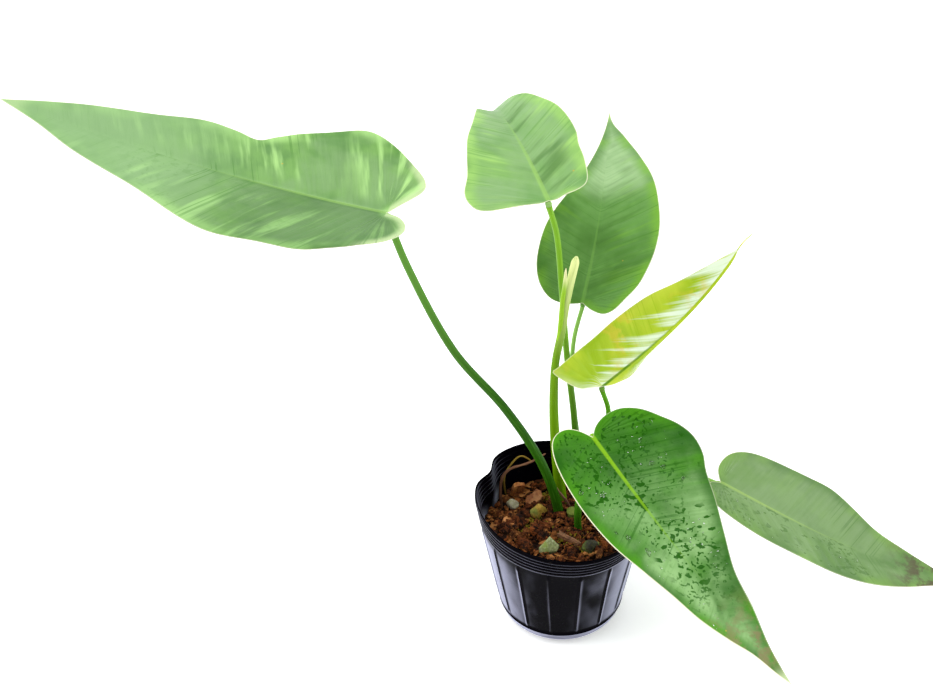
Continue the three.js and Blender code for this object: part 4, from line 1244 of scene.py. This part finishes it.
def make_moss(soil, pot):
    """Grains of moss, gathered in a few places."""
    rng = random.Random(SEEDS["moss"])
    bm = bmesh.new()
    for k in range(soil.moss):
        x0, y0, spread = MOSS_PLACES[k % len(MOSS_PLACES)]
        x, y = rng.gauss(x0, spread / 2), rng.gauss(y0, spread / 2)
        size = rng.uniform(0.5, 1.5)
        place = Vector((x, y, soil_height(x, y) + 0.5))
        add_lump(bm, rng, place, (size * 1.4, size, size * 0.8), random_turn(rng, 60), 0.35)
    return bm


def make_fibres(soil, pot):
    """Loose curled fibres of coir."""
    rng = random.Random(SEEDS["fibres"])
    bm = bmesh.new()
    for place in scattered(rng, soil.fibres, pot, 0.88):
        heading = rng.uniform(0, 2 * math.pi)
        step = rng.uniform(1.4, 4.0)
        spot = place + Vector((0, 0, rng.uniform(0.2, 0.9)))
        path = [spot]
        for _ in range(3):
            heading += rng.uniform(-0.9, 0.9)
            spot = spot + Vector((math.cos(heading), math.sin(heading), 0)) * step
            spot.z = soil_height(spot.x, spot.y) + rng.uniform(0.3, 1.7)
            path.append(spot)
        if max(math.hypot(p.x, p.y) for p in path) > FIBRE_REACH:
            continue
        thick = rng.uniform(0.13, 0.3)
        tube(bm, path, lambda t, a: thick * (1 - 0.6 * abs(2 * t - 1) ** 3), sides=4, rings=7)
    close_up(bm, distance=1e-3)
    return bm


def worn_copy(node, bevel, relief, cell):
    """A finer copy of a CAD node, with softened edges and a worn surface. The node itself stays as it is."""
    bm = bmesh.new()
    bm.from_mesh(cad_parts[node].data)
    bmesh.ops.scale(bm, vec=(1 / MM,) * 3, verts=bm.verts)
    bmesh.ops.remove_doubles(bm, verts=bm.verts, dist=1e-3)
    bmesh.ops.bevel(
        bm, geom=bm.edges[:], offset=bevel, segments=2, profile=0.5, affect="EDGES", material=-1
    )
    bmesh.ops.triangulate(bm, faces=[face for face in bm.faces if len(face.verts) > 4])
    for _ in range(2):
        bmesh.ops.subdivide_edges(bm, edges=bm.edges[:], cuts=1, use_grid_fill=True, smooth=0.15)
    bm.normal_update()
    for vert in bm.verts:
        rough = noise.noise(vert.co / cell) + 0.5 * noise.noise(vert.co / (0.4 * cell))
        vert.co += vert.normal * relief * (rough - 0.2)
    return bm


class Outline:
    """One half of a blade's outline, in shares of the midrib's length."""

    def __init__(self, corners):
        points = [Vector((0, 0)), *[Vector(p) for p in corners], Vector((1, 0))]
        ends = [points[0], *points, points[-1]]
        dense = [points[0]]
        for p0, p1, p2, p3 in zip(ends, ends[1:], ends[2:], ends[3:]):
            dense += bow(p1, p2, (p2 - p0) / 2, (p3 - p1) / 2, CORNER_STEPS)
        self.points, _ = even_points(dense, OUTLINE_STEPS)

    def at(self, share):
        """The point a share of the way along the outline."""
        spot = clamp(share) * (len(self.points) - 1)
        k = min(int(spot), len(self.points) - 2)
        return self.points[k].lerp(self.points[k + 1], spot - k)

    def vein_end(self, root):
        """Where the vein that leaves the midrib at this share of its length comes out."""
        last = len(self.points) - 1
        k = last
        while k > 1 and self.points[k].x - VEIN_LEAD * self.points[k].y > root:
            k -= 1
        return k / last


class BladeForm:
    """Where the points of a bent blade lie."""

    def __init__(self, blade):
        self.blade = blade
        self.corners = [Vector(p) for p in blade["midrib"]]
        self.faces = [Vector(face).normalized() for face in blade["faces"]]
        spine = [self.middle(share) for share in shares(SPINE_STEPS)]
        self.length = sum((b - a).length for a, b in zip(spine, spine[1:]))

    def middle(self, u):
        """A point of the midrib, or of its straight run behind the petiole."""
        a, b, c, d = self.corners
        if u < 0:
            return a + (b - a) * 3 * u
        v = 1 - u
        return a * v**3 + b * (3 * v * v * u) + c * (3 * v * u * u) + d * u**3

    def directions(self, u):
        """The share along the midrib, and the directions up from the face and to its left."""
        share = clamp(u)
        a, b, c, d = self.corners
        v = 1 - share
        along = ((b - a) * v * v + (c - b) * (2 * v * share) + (d - c) * share * share).normalized()
        up = self.faces[0].lerp(self.faces[1], share)
        up = (up - along * up.dot(along)).normalized()
        return share, up, up.cross(along)

    def point(self, u, across, lift=0.0):
        """The point a distance across the midrib, left if positive, and a lift from the middle surface."""
        share, up, left = self.directions(u)
        side = "left" if across >= 0 else "right"
        w = abs(across)
        outward = left if across >= 0 else -left
        start, end = self.blade["folds"][side]
        fold = math.radians(lerp(start, end, share ** self.blade.get("fold_pace", 1)))
        bent = min(w, FOLD_ROUND)
        turned = fold * bent / FOLD_ROUND
        out = FOLD_ROUND / fold * math.sin(turned) + (w - bent) * math.cos(fold)
        rise = FOLD_ROUND / fold * (1 - math.cos(turned)) + (w - bent) * math.sin(fold)
        height, count, phase = self.blade["waves"][side]
        wave = height * (w / LOBE_BEND) ** 2 * math.sin(2 * math.pi * (count * u + phase))
        normal = up * math.cos(turned) - outward * math.sin(turned)
        return self.middle(u) + outward * out + up * (rise + wave) + normal * lift


def blade_rows(outline):
    """For each row of a half, the share of the outline where it ends, its root and its vein number."""
    first = outline.vein_end(0)
    rows = []
    for share in shares(LOBE_ROWS):
        q = lerp(FIRST_ROW, 1, share)
        rows.append((first * q, 0.0, (q - 1) * LOBE_FAN))
    for root in shares(SPINE_ROWS)[1:]:
        rows.append((outline.vein_end(root) if root < 1 else 1.0, root, root))
    return rows


def flat_half(bm, form, side):
    """Half of a blade, cut flat: rows run out from the midrib as the side veins do."""
    outline = Outline(form.blade[side])
    rows = blade_rows(outline)
    vein = layer_of(bm.verts.layers.float, "vein")
    sign = 1 if side == "left" else -1
    first = outline.vein_end(0)

    def place(vert, column, row):
        share = 1.0 if column == HALF_COLUMNS else 0.985 * (column / (HALF_COLUMNS - 1)) ** 1.6
        end, root, number = rows[row]
        edge = outline.at(end)
        straight = Vector((lerp(root, edge.x, share), edge.y * share))
        if root == 0:
            follow = outline.at(end * share)
            mixed = ease(FIRST_ROW, 2 * FIRST_ROW, end / first)
            straight = follow.lerp(straight, mixed)
        vert.co = (straight.x * form.length, sign * straight.y * form.length, 0)
        vert[vein] = number * form.length

    bent_sheet(bm, HALF_COLUMNS, len(rows) - 1, place)
    return outline


def margin_finder(form, outlines):
    """A search for the nearest point of a blade's edge, in the flat blade."""
    tree = KDTree(sum(len(outline.points) for outline in outlines))
    k = 0
    for outline, sign in zip(outlines, (1, -1)):
        for point in outline.points:
            tree.insert((point.x * form.length, sign * point.y * form.length, 0), k)
            k += 1
    tree.balance()
    return tree


def blade_lift(u, w, vein, margin, under, leaves, ridge):
    """How far a face of the blade lies from its middle surface: swells, midrib and thinner edge."""
    spacing = leaves.vein_spacing / MM
    bell = ease(2, 12, w) * ease(0, 7, margin)
    swell = abs(math.sin(math.pi * vein / spacing)) - 0.64
    lift = leaves.pleat / MM * bell * swell
    half = leaves.thickness / MM / 2 * lerp(0.35, 1, ease(0, 1.4, margin))
    if under:
        rib = (2 * ridge - 0.2 - half) * ease(1.5 * ridge, 0.35 * ridge, w) * ease(0, 3, margin)
        return lift - half - max(0.0, rib)
    line = 0.2 * ease(1.5, 0, w / lerp(1.1, 0.5, u)) * (1 - u)
    channel = 0.22 * math.exp(-(((w - 2.6) / 1.2) ** 2)) * (1 - u)
    return lift + half + (line - channel) * ease(0, 3, margin)


def make_blade(name, leaves):
    """A blade: cut flat, given its thickness, then bent into place, with a swelling at its petiole."""
    form = BladeForm(BLADES[name])
    bm = bmesh.new()
    outlines = [flat_half(bm, form, side) for side in ("left", "right")]
    bmesh.ops.remove_doubles(bm, verts=bm.verts, dist=1e-3)
    bmesh.ops.dissolve_degenerate(bm, edges=bm.edges, dist=1e-3)
    bmesh.ops.recalc_face_normals(bm, faces=bm.faces)
    if sum(face.normal.z for face in bm.faces) < 0:
        bmesh.ops.reverse_faces(bm, faces=bm.faces)
    bmesh.ops.solidify(bm, geom=bm.faces[:], thickness=1.0)
    low, high = min(v.co.z for v in bm.verts), max(v.co.z for v in bm.verts)
    vein = bm.verts.layers.float["vein"]
    veins = bm.verts.layers.float_vector.new("veins")
    edges = bm.verts.layers.float_vector.new("edges")
    finder = margin_finder(form, outlines)
    for vert in bm.verts:
        u, across = vert.co.x / form.length, vert.co.y
        under = vert.co.z < (low + high) / 2
        margin = finder.find((vert.co.x, vert.co.y, 0))[2]
        vert[veins] = (vert[vein], abs(across), clamp(u))
        vert[edges] = (margin, 1.0 if under else 0.0, 1.0 if across >= 0 else -1.0)
        ridge = lerp(1.6, 0.5, clamp(u / 0.94))
        lift = blade_lift(clamp(u), abs(across), vert[vein], margin, under, leaves, ridge)
        spot = form.point(u, across, lift)
        ripple = noise.noise(spot / 26) * 0.5 * ease(3, 15, abs(across))
        vert.co = spot + form.directions(u)[1] * ripple
    add_knob(bm, form, name, veins, edges)
    if "thread" in form.blade:
        add_thread(bm, form.blade["thread"], veins, edges)
    return bm


def add_knob(bm, form, name, veins, edges):
    """The swelling where the petiole becomes the midrib."""
    _, up, left = form.directions(0)
    along = left.cross(up)
    radius = PETIOLE_RADII[name][1] + 0.5
    middle = form.middle(0) - up * KNOB_DROP
    made = bmesh.ops.create_icosphere(bm, subdivisions=3, radius=1)
    for vert in made["verts"]:
        x, y, z = vert.co
        tall = 1.35 if z > 0 else 1.1 * radius
        taper = lerp(1, 0.8, ease(-1, 1, x))
        vert.co = middle + along * (x * radius) + left * (y * radius * taper) + up * (z * tall)
        vert[veins] = (0, 0, 0)
        vert[edges] = (9, 0, 1)


def add_thread(bm, path, veins, edges):
    """The fine dry end of a young leaf's tip."""
    for vert in tube(bm, path, lambda t, a: lerp(*THREAD_RADII, t), sides=8, rings=12):
        vert[veins] = (0, 9, 1)
        vert[edges] = (9, 0, -1)


def petiole_path(name):
    """A petiole's path, ending in the swelling under its blade."""
    form = BladeForm(BLADES[name])
    _, up, _ = form.directions(0)
    end = form.middle(0) - up * PETIOLE_DEPTH
    return [*PETIOLE_PATHS[name], tuple(end)]


def make_petiole(name):
    """A stalk, a little flattened and grooved on one side, swollen where it meets its blade."""

    def radius_at(share, angle):
        radius = lerp(*PETIOLE_RADII[name], math.sqrt(share)) * (1 + 0.12 * ease(0.96, 1, share))
        groove = 0.1 * math.exp(-((math.atan2(math.sin(angle - 1), math.cos(angle - 1)) / 0.5) ** 2))
        return radius * (0.985 - groove * ease(0.05, 0.3, share) + 0.02 * math.cos(2 * angle))

    return closed_tube(petiole_path(name), radius_at, sides=28, rings=90)


def make_stem():
    """The short buried stem, ringed by the scars of old leaves."""

    def radius_at(share, angle):
        scar = 0.55 * abs(math.sin(3.5 * math.pi * share)) ** 3
        return (lerp(*STEM_RADII, share) + scar) * blunt(share, 0.06)

    return closed_tube(STEM_PATH, radius_at, sides=24, rings=60)


def make_sheath():
    """The shoot's sheath: blunt at the tip, with two long keels and an open side."""

    def radius_at(share, angle):
        radius = lerp(*SHOOT_RADII, min(1, 1.6 * share)) * blunt(share, 0.02, 1.003)
        keels = 0.05 * math.cos(2 * angle) + 0.03 * math.cos(5 * angle)
        return radius * (0.97 + keels * ease(0.1, 0.5, share))

    return closed_tube(SHOOT_PATH, radius_at, sides=30, rings=150)


def make_spear():
    """The next leaf, rolled up, with the spiral edge of its roll."""

    def radius_at(share, angle):
        turn = (angle + 2.5 * share) % (2 * math.pi)
        return lerp(*SPEAR_RADII, share**6) * (0.94 + 0.1 * turn / (2 * math.pi)) * blunt(share, 0.05)

    return closed_tube(SPEAR_PATH, radius_at, sides=24, rings=80)


def make_twig(name):
    """A dry twig, root or stub, knobbly and shrunk."""
    seed = len(name)

    def radius_at(share, angle):
        knob = noise.noise((share * 14, seed, math.cos(angle))) * 0.3
        ridge = 0.08 * math.cos(5 * angle + 4 * share)
        return lerp(*TWIG_RADII[name], share) * (0.95 + knob + ridge) * blunt(share, 0.04)

    return closed_tube(TWIG_PATHS[name], radius_at, sides=14, rings=70)


def add_drop(bm, form, u, across, width, height, stretch, rng):
    """A drop on a blade's upper face: a flattened dome that hugs the face."""
    made = bmesh.ops.create_icosphere(bm, subdivisions=2 if width > 1.5 else 1, radius=1)
    turn = rng.uniform(0, math.pi)
    wobble = [rng.uniform(-0.18, 0.18) for _ in range(3)]
    for vert in made["verts"]:
        x, y, z = vert.co
        angle = math.atan2(y, x)
        size = 1 + wobble[0] * math.cos(2 * angle) + wobble[1] * math.sin(3 * angle)
        x, y = x * size * stretch, y * size
        x, y = x * math.cos(turn) - y * math.sin(turn), x * math.sin(turn) + y * math.cos(turn)
        at_u = u + 0.5 * width * x / form.length
        at_across = across + 0.5 * width * y
        lift = 0.3 + (height * z if z > 0 else 0.12 * z)
        vert.co = form.point(at_u, at_across, lift)


def make_drops(name, count, size):
    """Drops on a wet leaf, a few of them large."""
    rng = random.Random(SEEDS[name])
    form = BladeForm(BLADES[name])
    outlines = {side: Outline(form.blade[side]) for side in ("left", "right")}
    bm = bmesh.new()
    for k in range(count):
        u = rng.uniform(0.06, 0.78)
        side = rng.choice(("left", "right")) if name == "front" else "right"
        widest = max(p.y for p in outlines[side].points if abs(p.x - u) < 0.02) * form.length
        across = rng.uniform(0.12, 0.86) * widest * (1 if side == "left" else -1)
        width = size * (rng.uniform(0.6, 1) if k < count // 25 else rng.uniform(0.1, 0.22))
        add_drop(bm, form, u, across, width, 0.22 * width, rng.uniform(1, 1.7), rng)
    return bm


class PLANT_OT_pot(Operator):
    """Make the soft black pot"""

    bl_idname = "plant.make_pot"
    bl_label = "Pot"

    def execute(self, context):
        pot = context.scene.plant_pot
        material = pot_finish(pot.colour)
        piece = finish_piece(make_pot_mesh(pot), "soft_pot", material, ["pot"])
        drill_drains(piece)
        return {"FINISHED"}


class PLANT_OT_soil(Operator):
    """Make the soil with its crumbs, flakes, fibres and moss"""

    bl_idname = "plant.make_soil"
    bl_label = "Soil"

    def execute(self, context):
        pot, soil = context.scene.plant_pot, context.scene.plant_soil
        coir = tuple(soil.colour)
        green = tuple(soil.moss_colour)
        # The ground is kept darker than the crumbs on it: coir colour and painted shade in the gaps.
        ground = crumb_finish("coir", *map(paint, COIR_GAP_SHADE_TONES), 170, 420)
        finish_piece(make_soil_mesh(pot), "soil_ground", ground, ["soil"])
        loose = [
            ("crumbs", make_crumbs, "coir_crumbs", 0x1C0C06, coir, 0x9A5A2C, 120, 330),
            ("clods", make_clods, "coir_clods", 0x1C0C06, coir, 0x8E4C22, 210, 130),
            ("flakes", make_flakes, "bark_flakes", 0x34180C, paint(0x70401C), 0xC4844E, 140, 200),
            ("fibres", make_fibres, "coir_fibres", 0x4A2410, paint(0x7E441C), 0xA87038, 90, 150),
            ("moss", make_moss, "moss", 0x2E240A, green, 0xA29240, 260, 0),
        ]
        for name, maker, surface, dark, main, pale, scale, cell_scale in loose:
            material = crumb_finish(surface, paint(dark), main, paint(pale), scale, cell_scale)
            slot, sharp = ("bark", 50) if name == "flakes" else ("soil", None)
            finish_piece(maker(soil, pot), f"soil_{name}", material, sharp=sharp)
        return {"FINISHED"}


class PLANT_OT_litter(Operator):
    """Make the stones, bark chips and twigs that lie on the soil"""

    bl_idname = "plant.make_litter"
    bl_label = "Stones, chips and twigs"

    def execute(self, context):
        for node, (*tones, amount) in STONES.items():
            material = stone_finish(f"{node}_surface", *map(paint, tones), amount)
            bm = worn_copy(node, bevel=0.35, relief=0.22, cell=1.6)
            finish_piece(bm, f"worn_{node}", material, [node], sharp=45)
        for node, tones in CHIPS.items():
            material = bark_finish(f"{node}_bark", *map(paint, tones))
            bm = worn_copy(node, bevel=0.3, relief=0.35, cell=1.9)
            finish_piece(bm, f"worn_{node}", material, [node], sharp=50)
        for node, tones in TWIG_TONES.items():
            material = stalk_finish(f"{node}_skin", *map(paint, tones), gloss=0.6)
            finish_piece(make_twig(node), f"knobbly_{node}", material, [node])
        return {"FINISHED"}


class PLANT_OT_stalks(Operator):
    """Make the leaf stalks and the buried stem"""

    bl_idname = "plant.make_stalks"
    bl_label = "Stalks and stem"

    def execute(self, context):
        main = tuple(context.scene.plant_leaves.stalk_colour)
        for name, top in STALK_TOPS.items():
            change = (0.4, 1.0) if name == "left" else (0.1, 0.75)
            skin = stalk_finish(f"{name}_stalk_skin", main, paint(top), paint(STALK_STREAK), change)
            finish_piece(make_petiole(name), f"stalk_{name}", skin, [f"petiole_{name}"])
        skin = stalk_finish("stem_skin", *map(paint, STEM_TONES))
        finish_piece(make_stem(), "short_stem", skin, ["stem"])
        return {"FINISHED"}


class PLANT_OT_blades(Operator):
    """Make the leaf blades"""

    bl_idname = "plant.make_blades"
    bl_label = "Leaf blades"

    def execute(self, context):
        leaves = context.scene.plant_leaves
        for name, own_look in LEAF_LOOKS.items():
            surface = leaf_finish(f"{name}_leaf_surface", own_look, leaves.margin_colour)
            finish_piece(make_blade(name, leaves), f"leaf_{name}", surface, [f"blade_{name}"])
        return {"FINISHED"}


class PLANT_OT_shoot(Operator):
    """Make the shoot's sheath and the rolled leaf in it"""

    bl_idname = "plant.make_shoot"
    bl_label = "Shoot"

    def execute(self, context):
        sheath = stalk_finish("sheath_skin", *map(paint, SHEATH_TONES), (0.62, 1.04), 0.34)
        spear = stalk_finish("rolled_leaf_skin", *map(paint, SPEAR_TONES), (0.74, 0.98), 0.32)
        finish_piece(make_sheath(), "shoot_cover", sheath, ["shoot_sheath"])
        finish_piece(make_spear(), "rolled_spear", spear, ["rolled_leaf"])
        return {"FINISHED"}


class PLANT_OT_water(Operator):
    """Make the drops of water on the two lowest leaves"""

    bl_idname = "plant.make_water"
    bl_label = "Water drops"

    def execute(self, context):
        water = context.scene.plant_water
        material = water_finish()
        size = water.size / MM
        for name, count, width in (("front", water.drops, size), ("low", water.drops // 3, 0.6 * size)):
            finish_piece(make_drops(name, count, width), f"drops_{name}", material)
        return {"FINISHED"}


def make_floor(width):
    """The pale floor, just under the pot."""
    bm = bmesh.new()
    bmesh.ops.create_grid(bm, x_segments=1, y_segments=1, size=width / 2)
    floor = new_object(bm, "pale_floor")
    floor.location.z = FLOOR_DROP
    finish = Finish("pale_floor_surface")
    cloud = finish.clouds(finish.place(), 3, 1, 0.3, 0.7)
    finish.set(Base_Color=finish.blend(cloud, *FLOOR_TONES))
    finish.set(Roughness=0.9, Specular_IOR_Level=0.1)
    finish.set(Emission_Color=(1, 1, 1, 1), Emission_Strength=FLOOR_GLOW)
    floor.data.materials.append(finish.material)


def light_stage(scene, power):
    """A pale world and four soft lights that face the plant."""
    world = bpy.data.worlds.new("studio")
    world.use_nodes = True
    sky = world.node_tree.nodes["Background"].inputs
    sky["Color"].default_value = SKY_COLOUR
    sky["Strength"].default_value = SKY_STRENGTH
    scene.world = world
    scene.view_settings.view_transform = "Standard"
    for name, (place, size, share) in LIGHTS.items():
        light = bpy.data.lights.new(name, "AREA")
        light.shape = "RECTANGLE"
        light.size, light.size_y = size
        light.energy = power * share
        lamp = bpy.data.objects.new(name, light)
        lamp.location = place
        toward = Vector(LIGHT_TARGET) - Vector(place)
        lamp.rotation_euler = toward.to_track_quat("-Z", "Y").to_euler()
        scene.collection.objects.link(lamp)


def place_camera(scene, lens, pitch, roll):
    """The camera, which looks down on the plant and leans a little."""
    camera = bpy.data.objects.new("camera", bpy.data.cameras.new("camera"))
    scene.collection.objects.link(camera)
    camera.data.lens = lens
    camera.data.sensor_width = SENSOR_WIDTH
    forward = Vector((0, math.cos(pitch), -math.sin(pitch)))
    right, up = Vector((1, 0, 0)), Vector((0, math.sin(pitch), math.cos(pitch)))
    c, s = math.cos(roll), math.sin(roll)
    turn = Matrix((right * c - up * s, right * s + up * c, -forward)).transposed()
    camera.matrix_world = Matrix.Translation(CAMERA_PLACE) @ turn.to_4x4()
    camera.data.clip_start = 0.01
    camera.data.clip_end = 50
    scene.camera = camera


class PLANT_OT_stage(Operator):
    """Make the pale floor, the soft lights and the camera"""

    bl_idname = "plant.make_stage"
    bl_label = "Stage"

    def execute(self, context):
        stage = context.scene.plant_stage
        make_floor(stage.floor_size)
        light_stage(context.scene, stage.key)
        place_camera(context.scene, stage.lens, stage.pitch, stage.roll)
        return {"FINISHED"}


class PLANT_PT_panel(Panel):
    """Lists the sizes and the makers of the plant"""

    bl_label = "Potted aroid"
    bl_idname = "PLANT_PT_panel"
    bl_space_type = "VIEW_3D"
    bl_region_type = "UI"
    bl_category = "Plant"

    def draw(self, context):
        for group, operators in MAKERS:
            box = self.layout.box()
            settings = getattr(context.scene, group)
            for name in settings.__annotations__:
                box.prop(settings, name)
            for operator in operators:
                box.operator(operator.bl_idname)


MAKERS = [
    ("plant_pot", [PLANT_OT_pot]),
    ("plant_soil", [PLANT_OT_soil, PLANT_OT_litter]),
    ("plant_leaves", [PLANT_OT_stalks, PLANT_OT_blades, PLANT_OT_shoot]),
    ("plant_water", [PLANT_OT_water]),
    ("plant_stage", [PLANT_OT_stage]),
]
GROUPS = {
    "plant_pot": PotSettings,
    "plant_soil": SoilSettings,
    "plant_leaves": LeafSettings,
    "plant_water": WaterSettings,
    "plant_stage": StageSettings,
}


def register():
    for group in GROUPS.values():
        bpy.utils.register_class(group)
    for _, operators in MAKERS:
        for operator in operators:
            bpy.utils.register_class(operator)
    bpy.utils.register_class(PLANT_PT_panel)
    for name, group in GROUPS.items():
        setattr(bpy.types.Scene, name, PointerProperty(type=group))


def unregister():
    for name in GROUPS:
        delattr(bpy.types.Scene, name)
    bpy.utils.unregister_class(PLANT_PT_panel)
    for _, operators in MAKERS:
        for operator in operators:
            bpy.utils.unregister_class(operator)
    for group in GROUPS.values():
        bpy.utils.unregister_class(group)


def main():
    register()
    bpy.ops.plant.make_pot()
    bpy.ops.plant.make_soil()
    bpy.ops.plant.make_litter()
    bpy.ops.plant.make_stalks()
    bpy.ops.plant.make_blades()
    bpy.ops.plant.make_shoot()
    bpy.ops.plant.make_water()
    bpy.ops.plant.make_stage()
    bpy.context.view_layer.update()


if __name__ == "__main__":
    main()
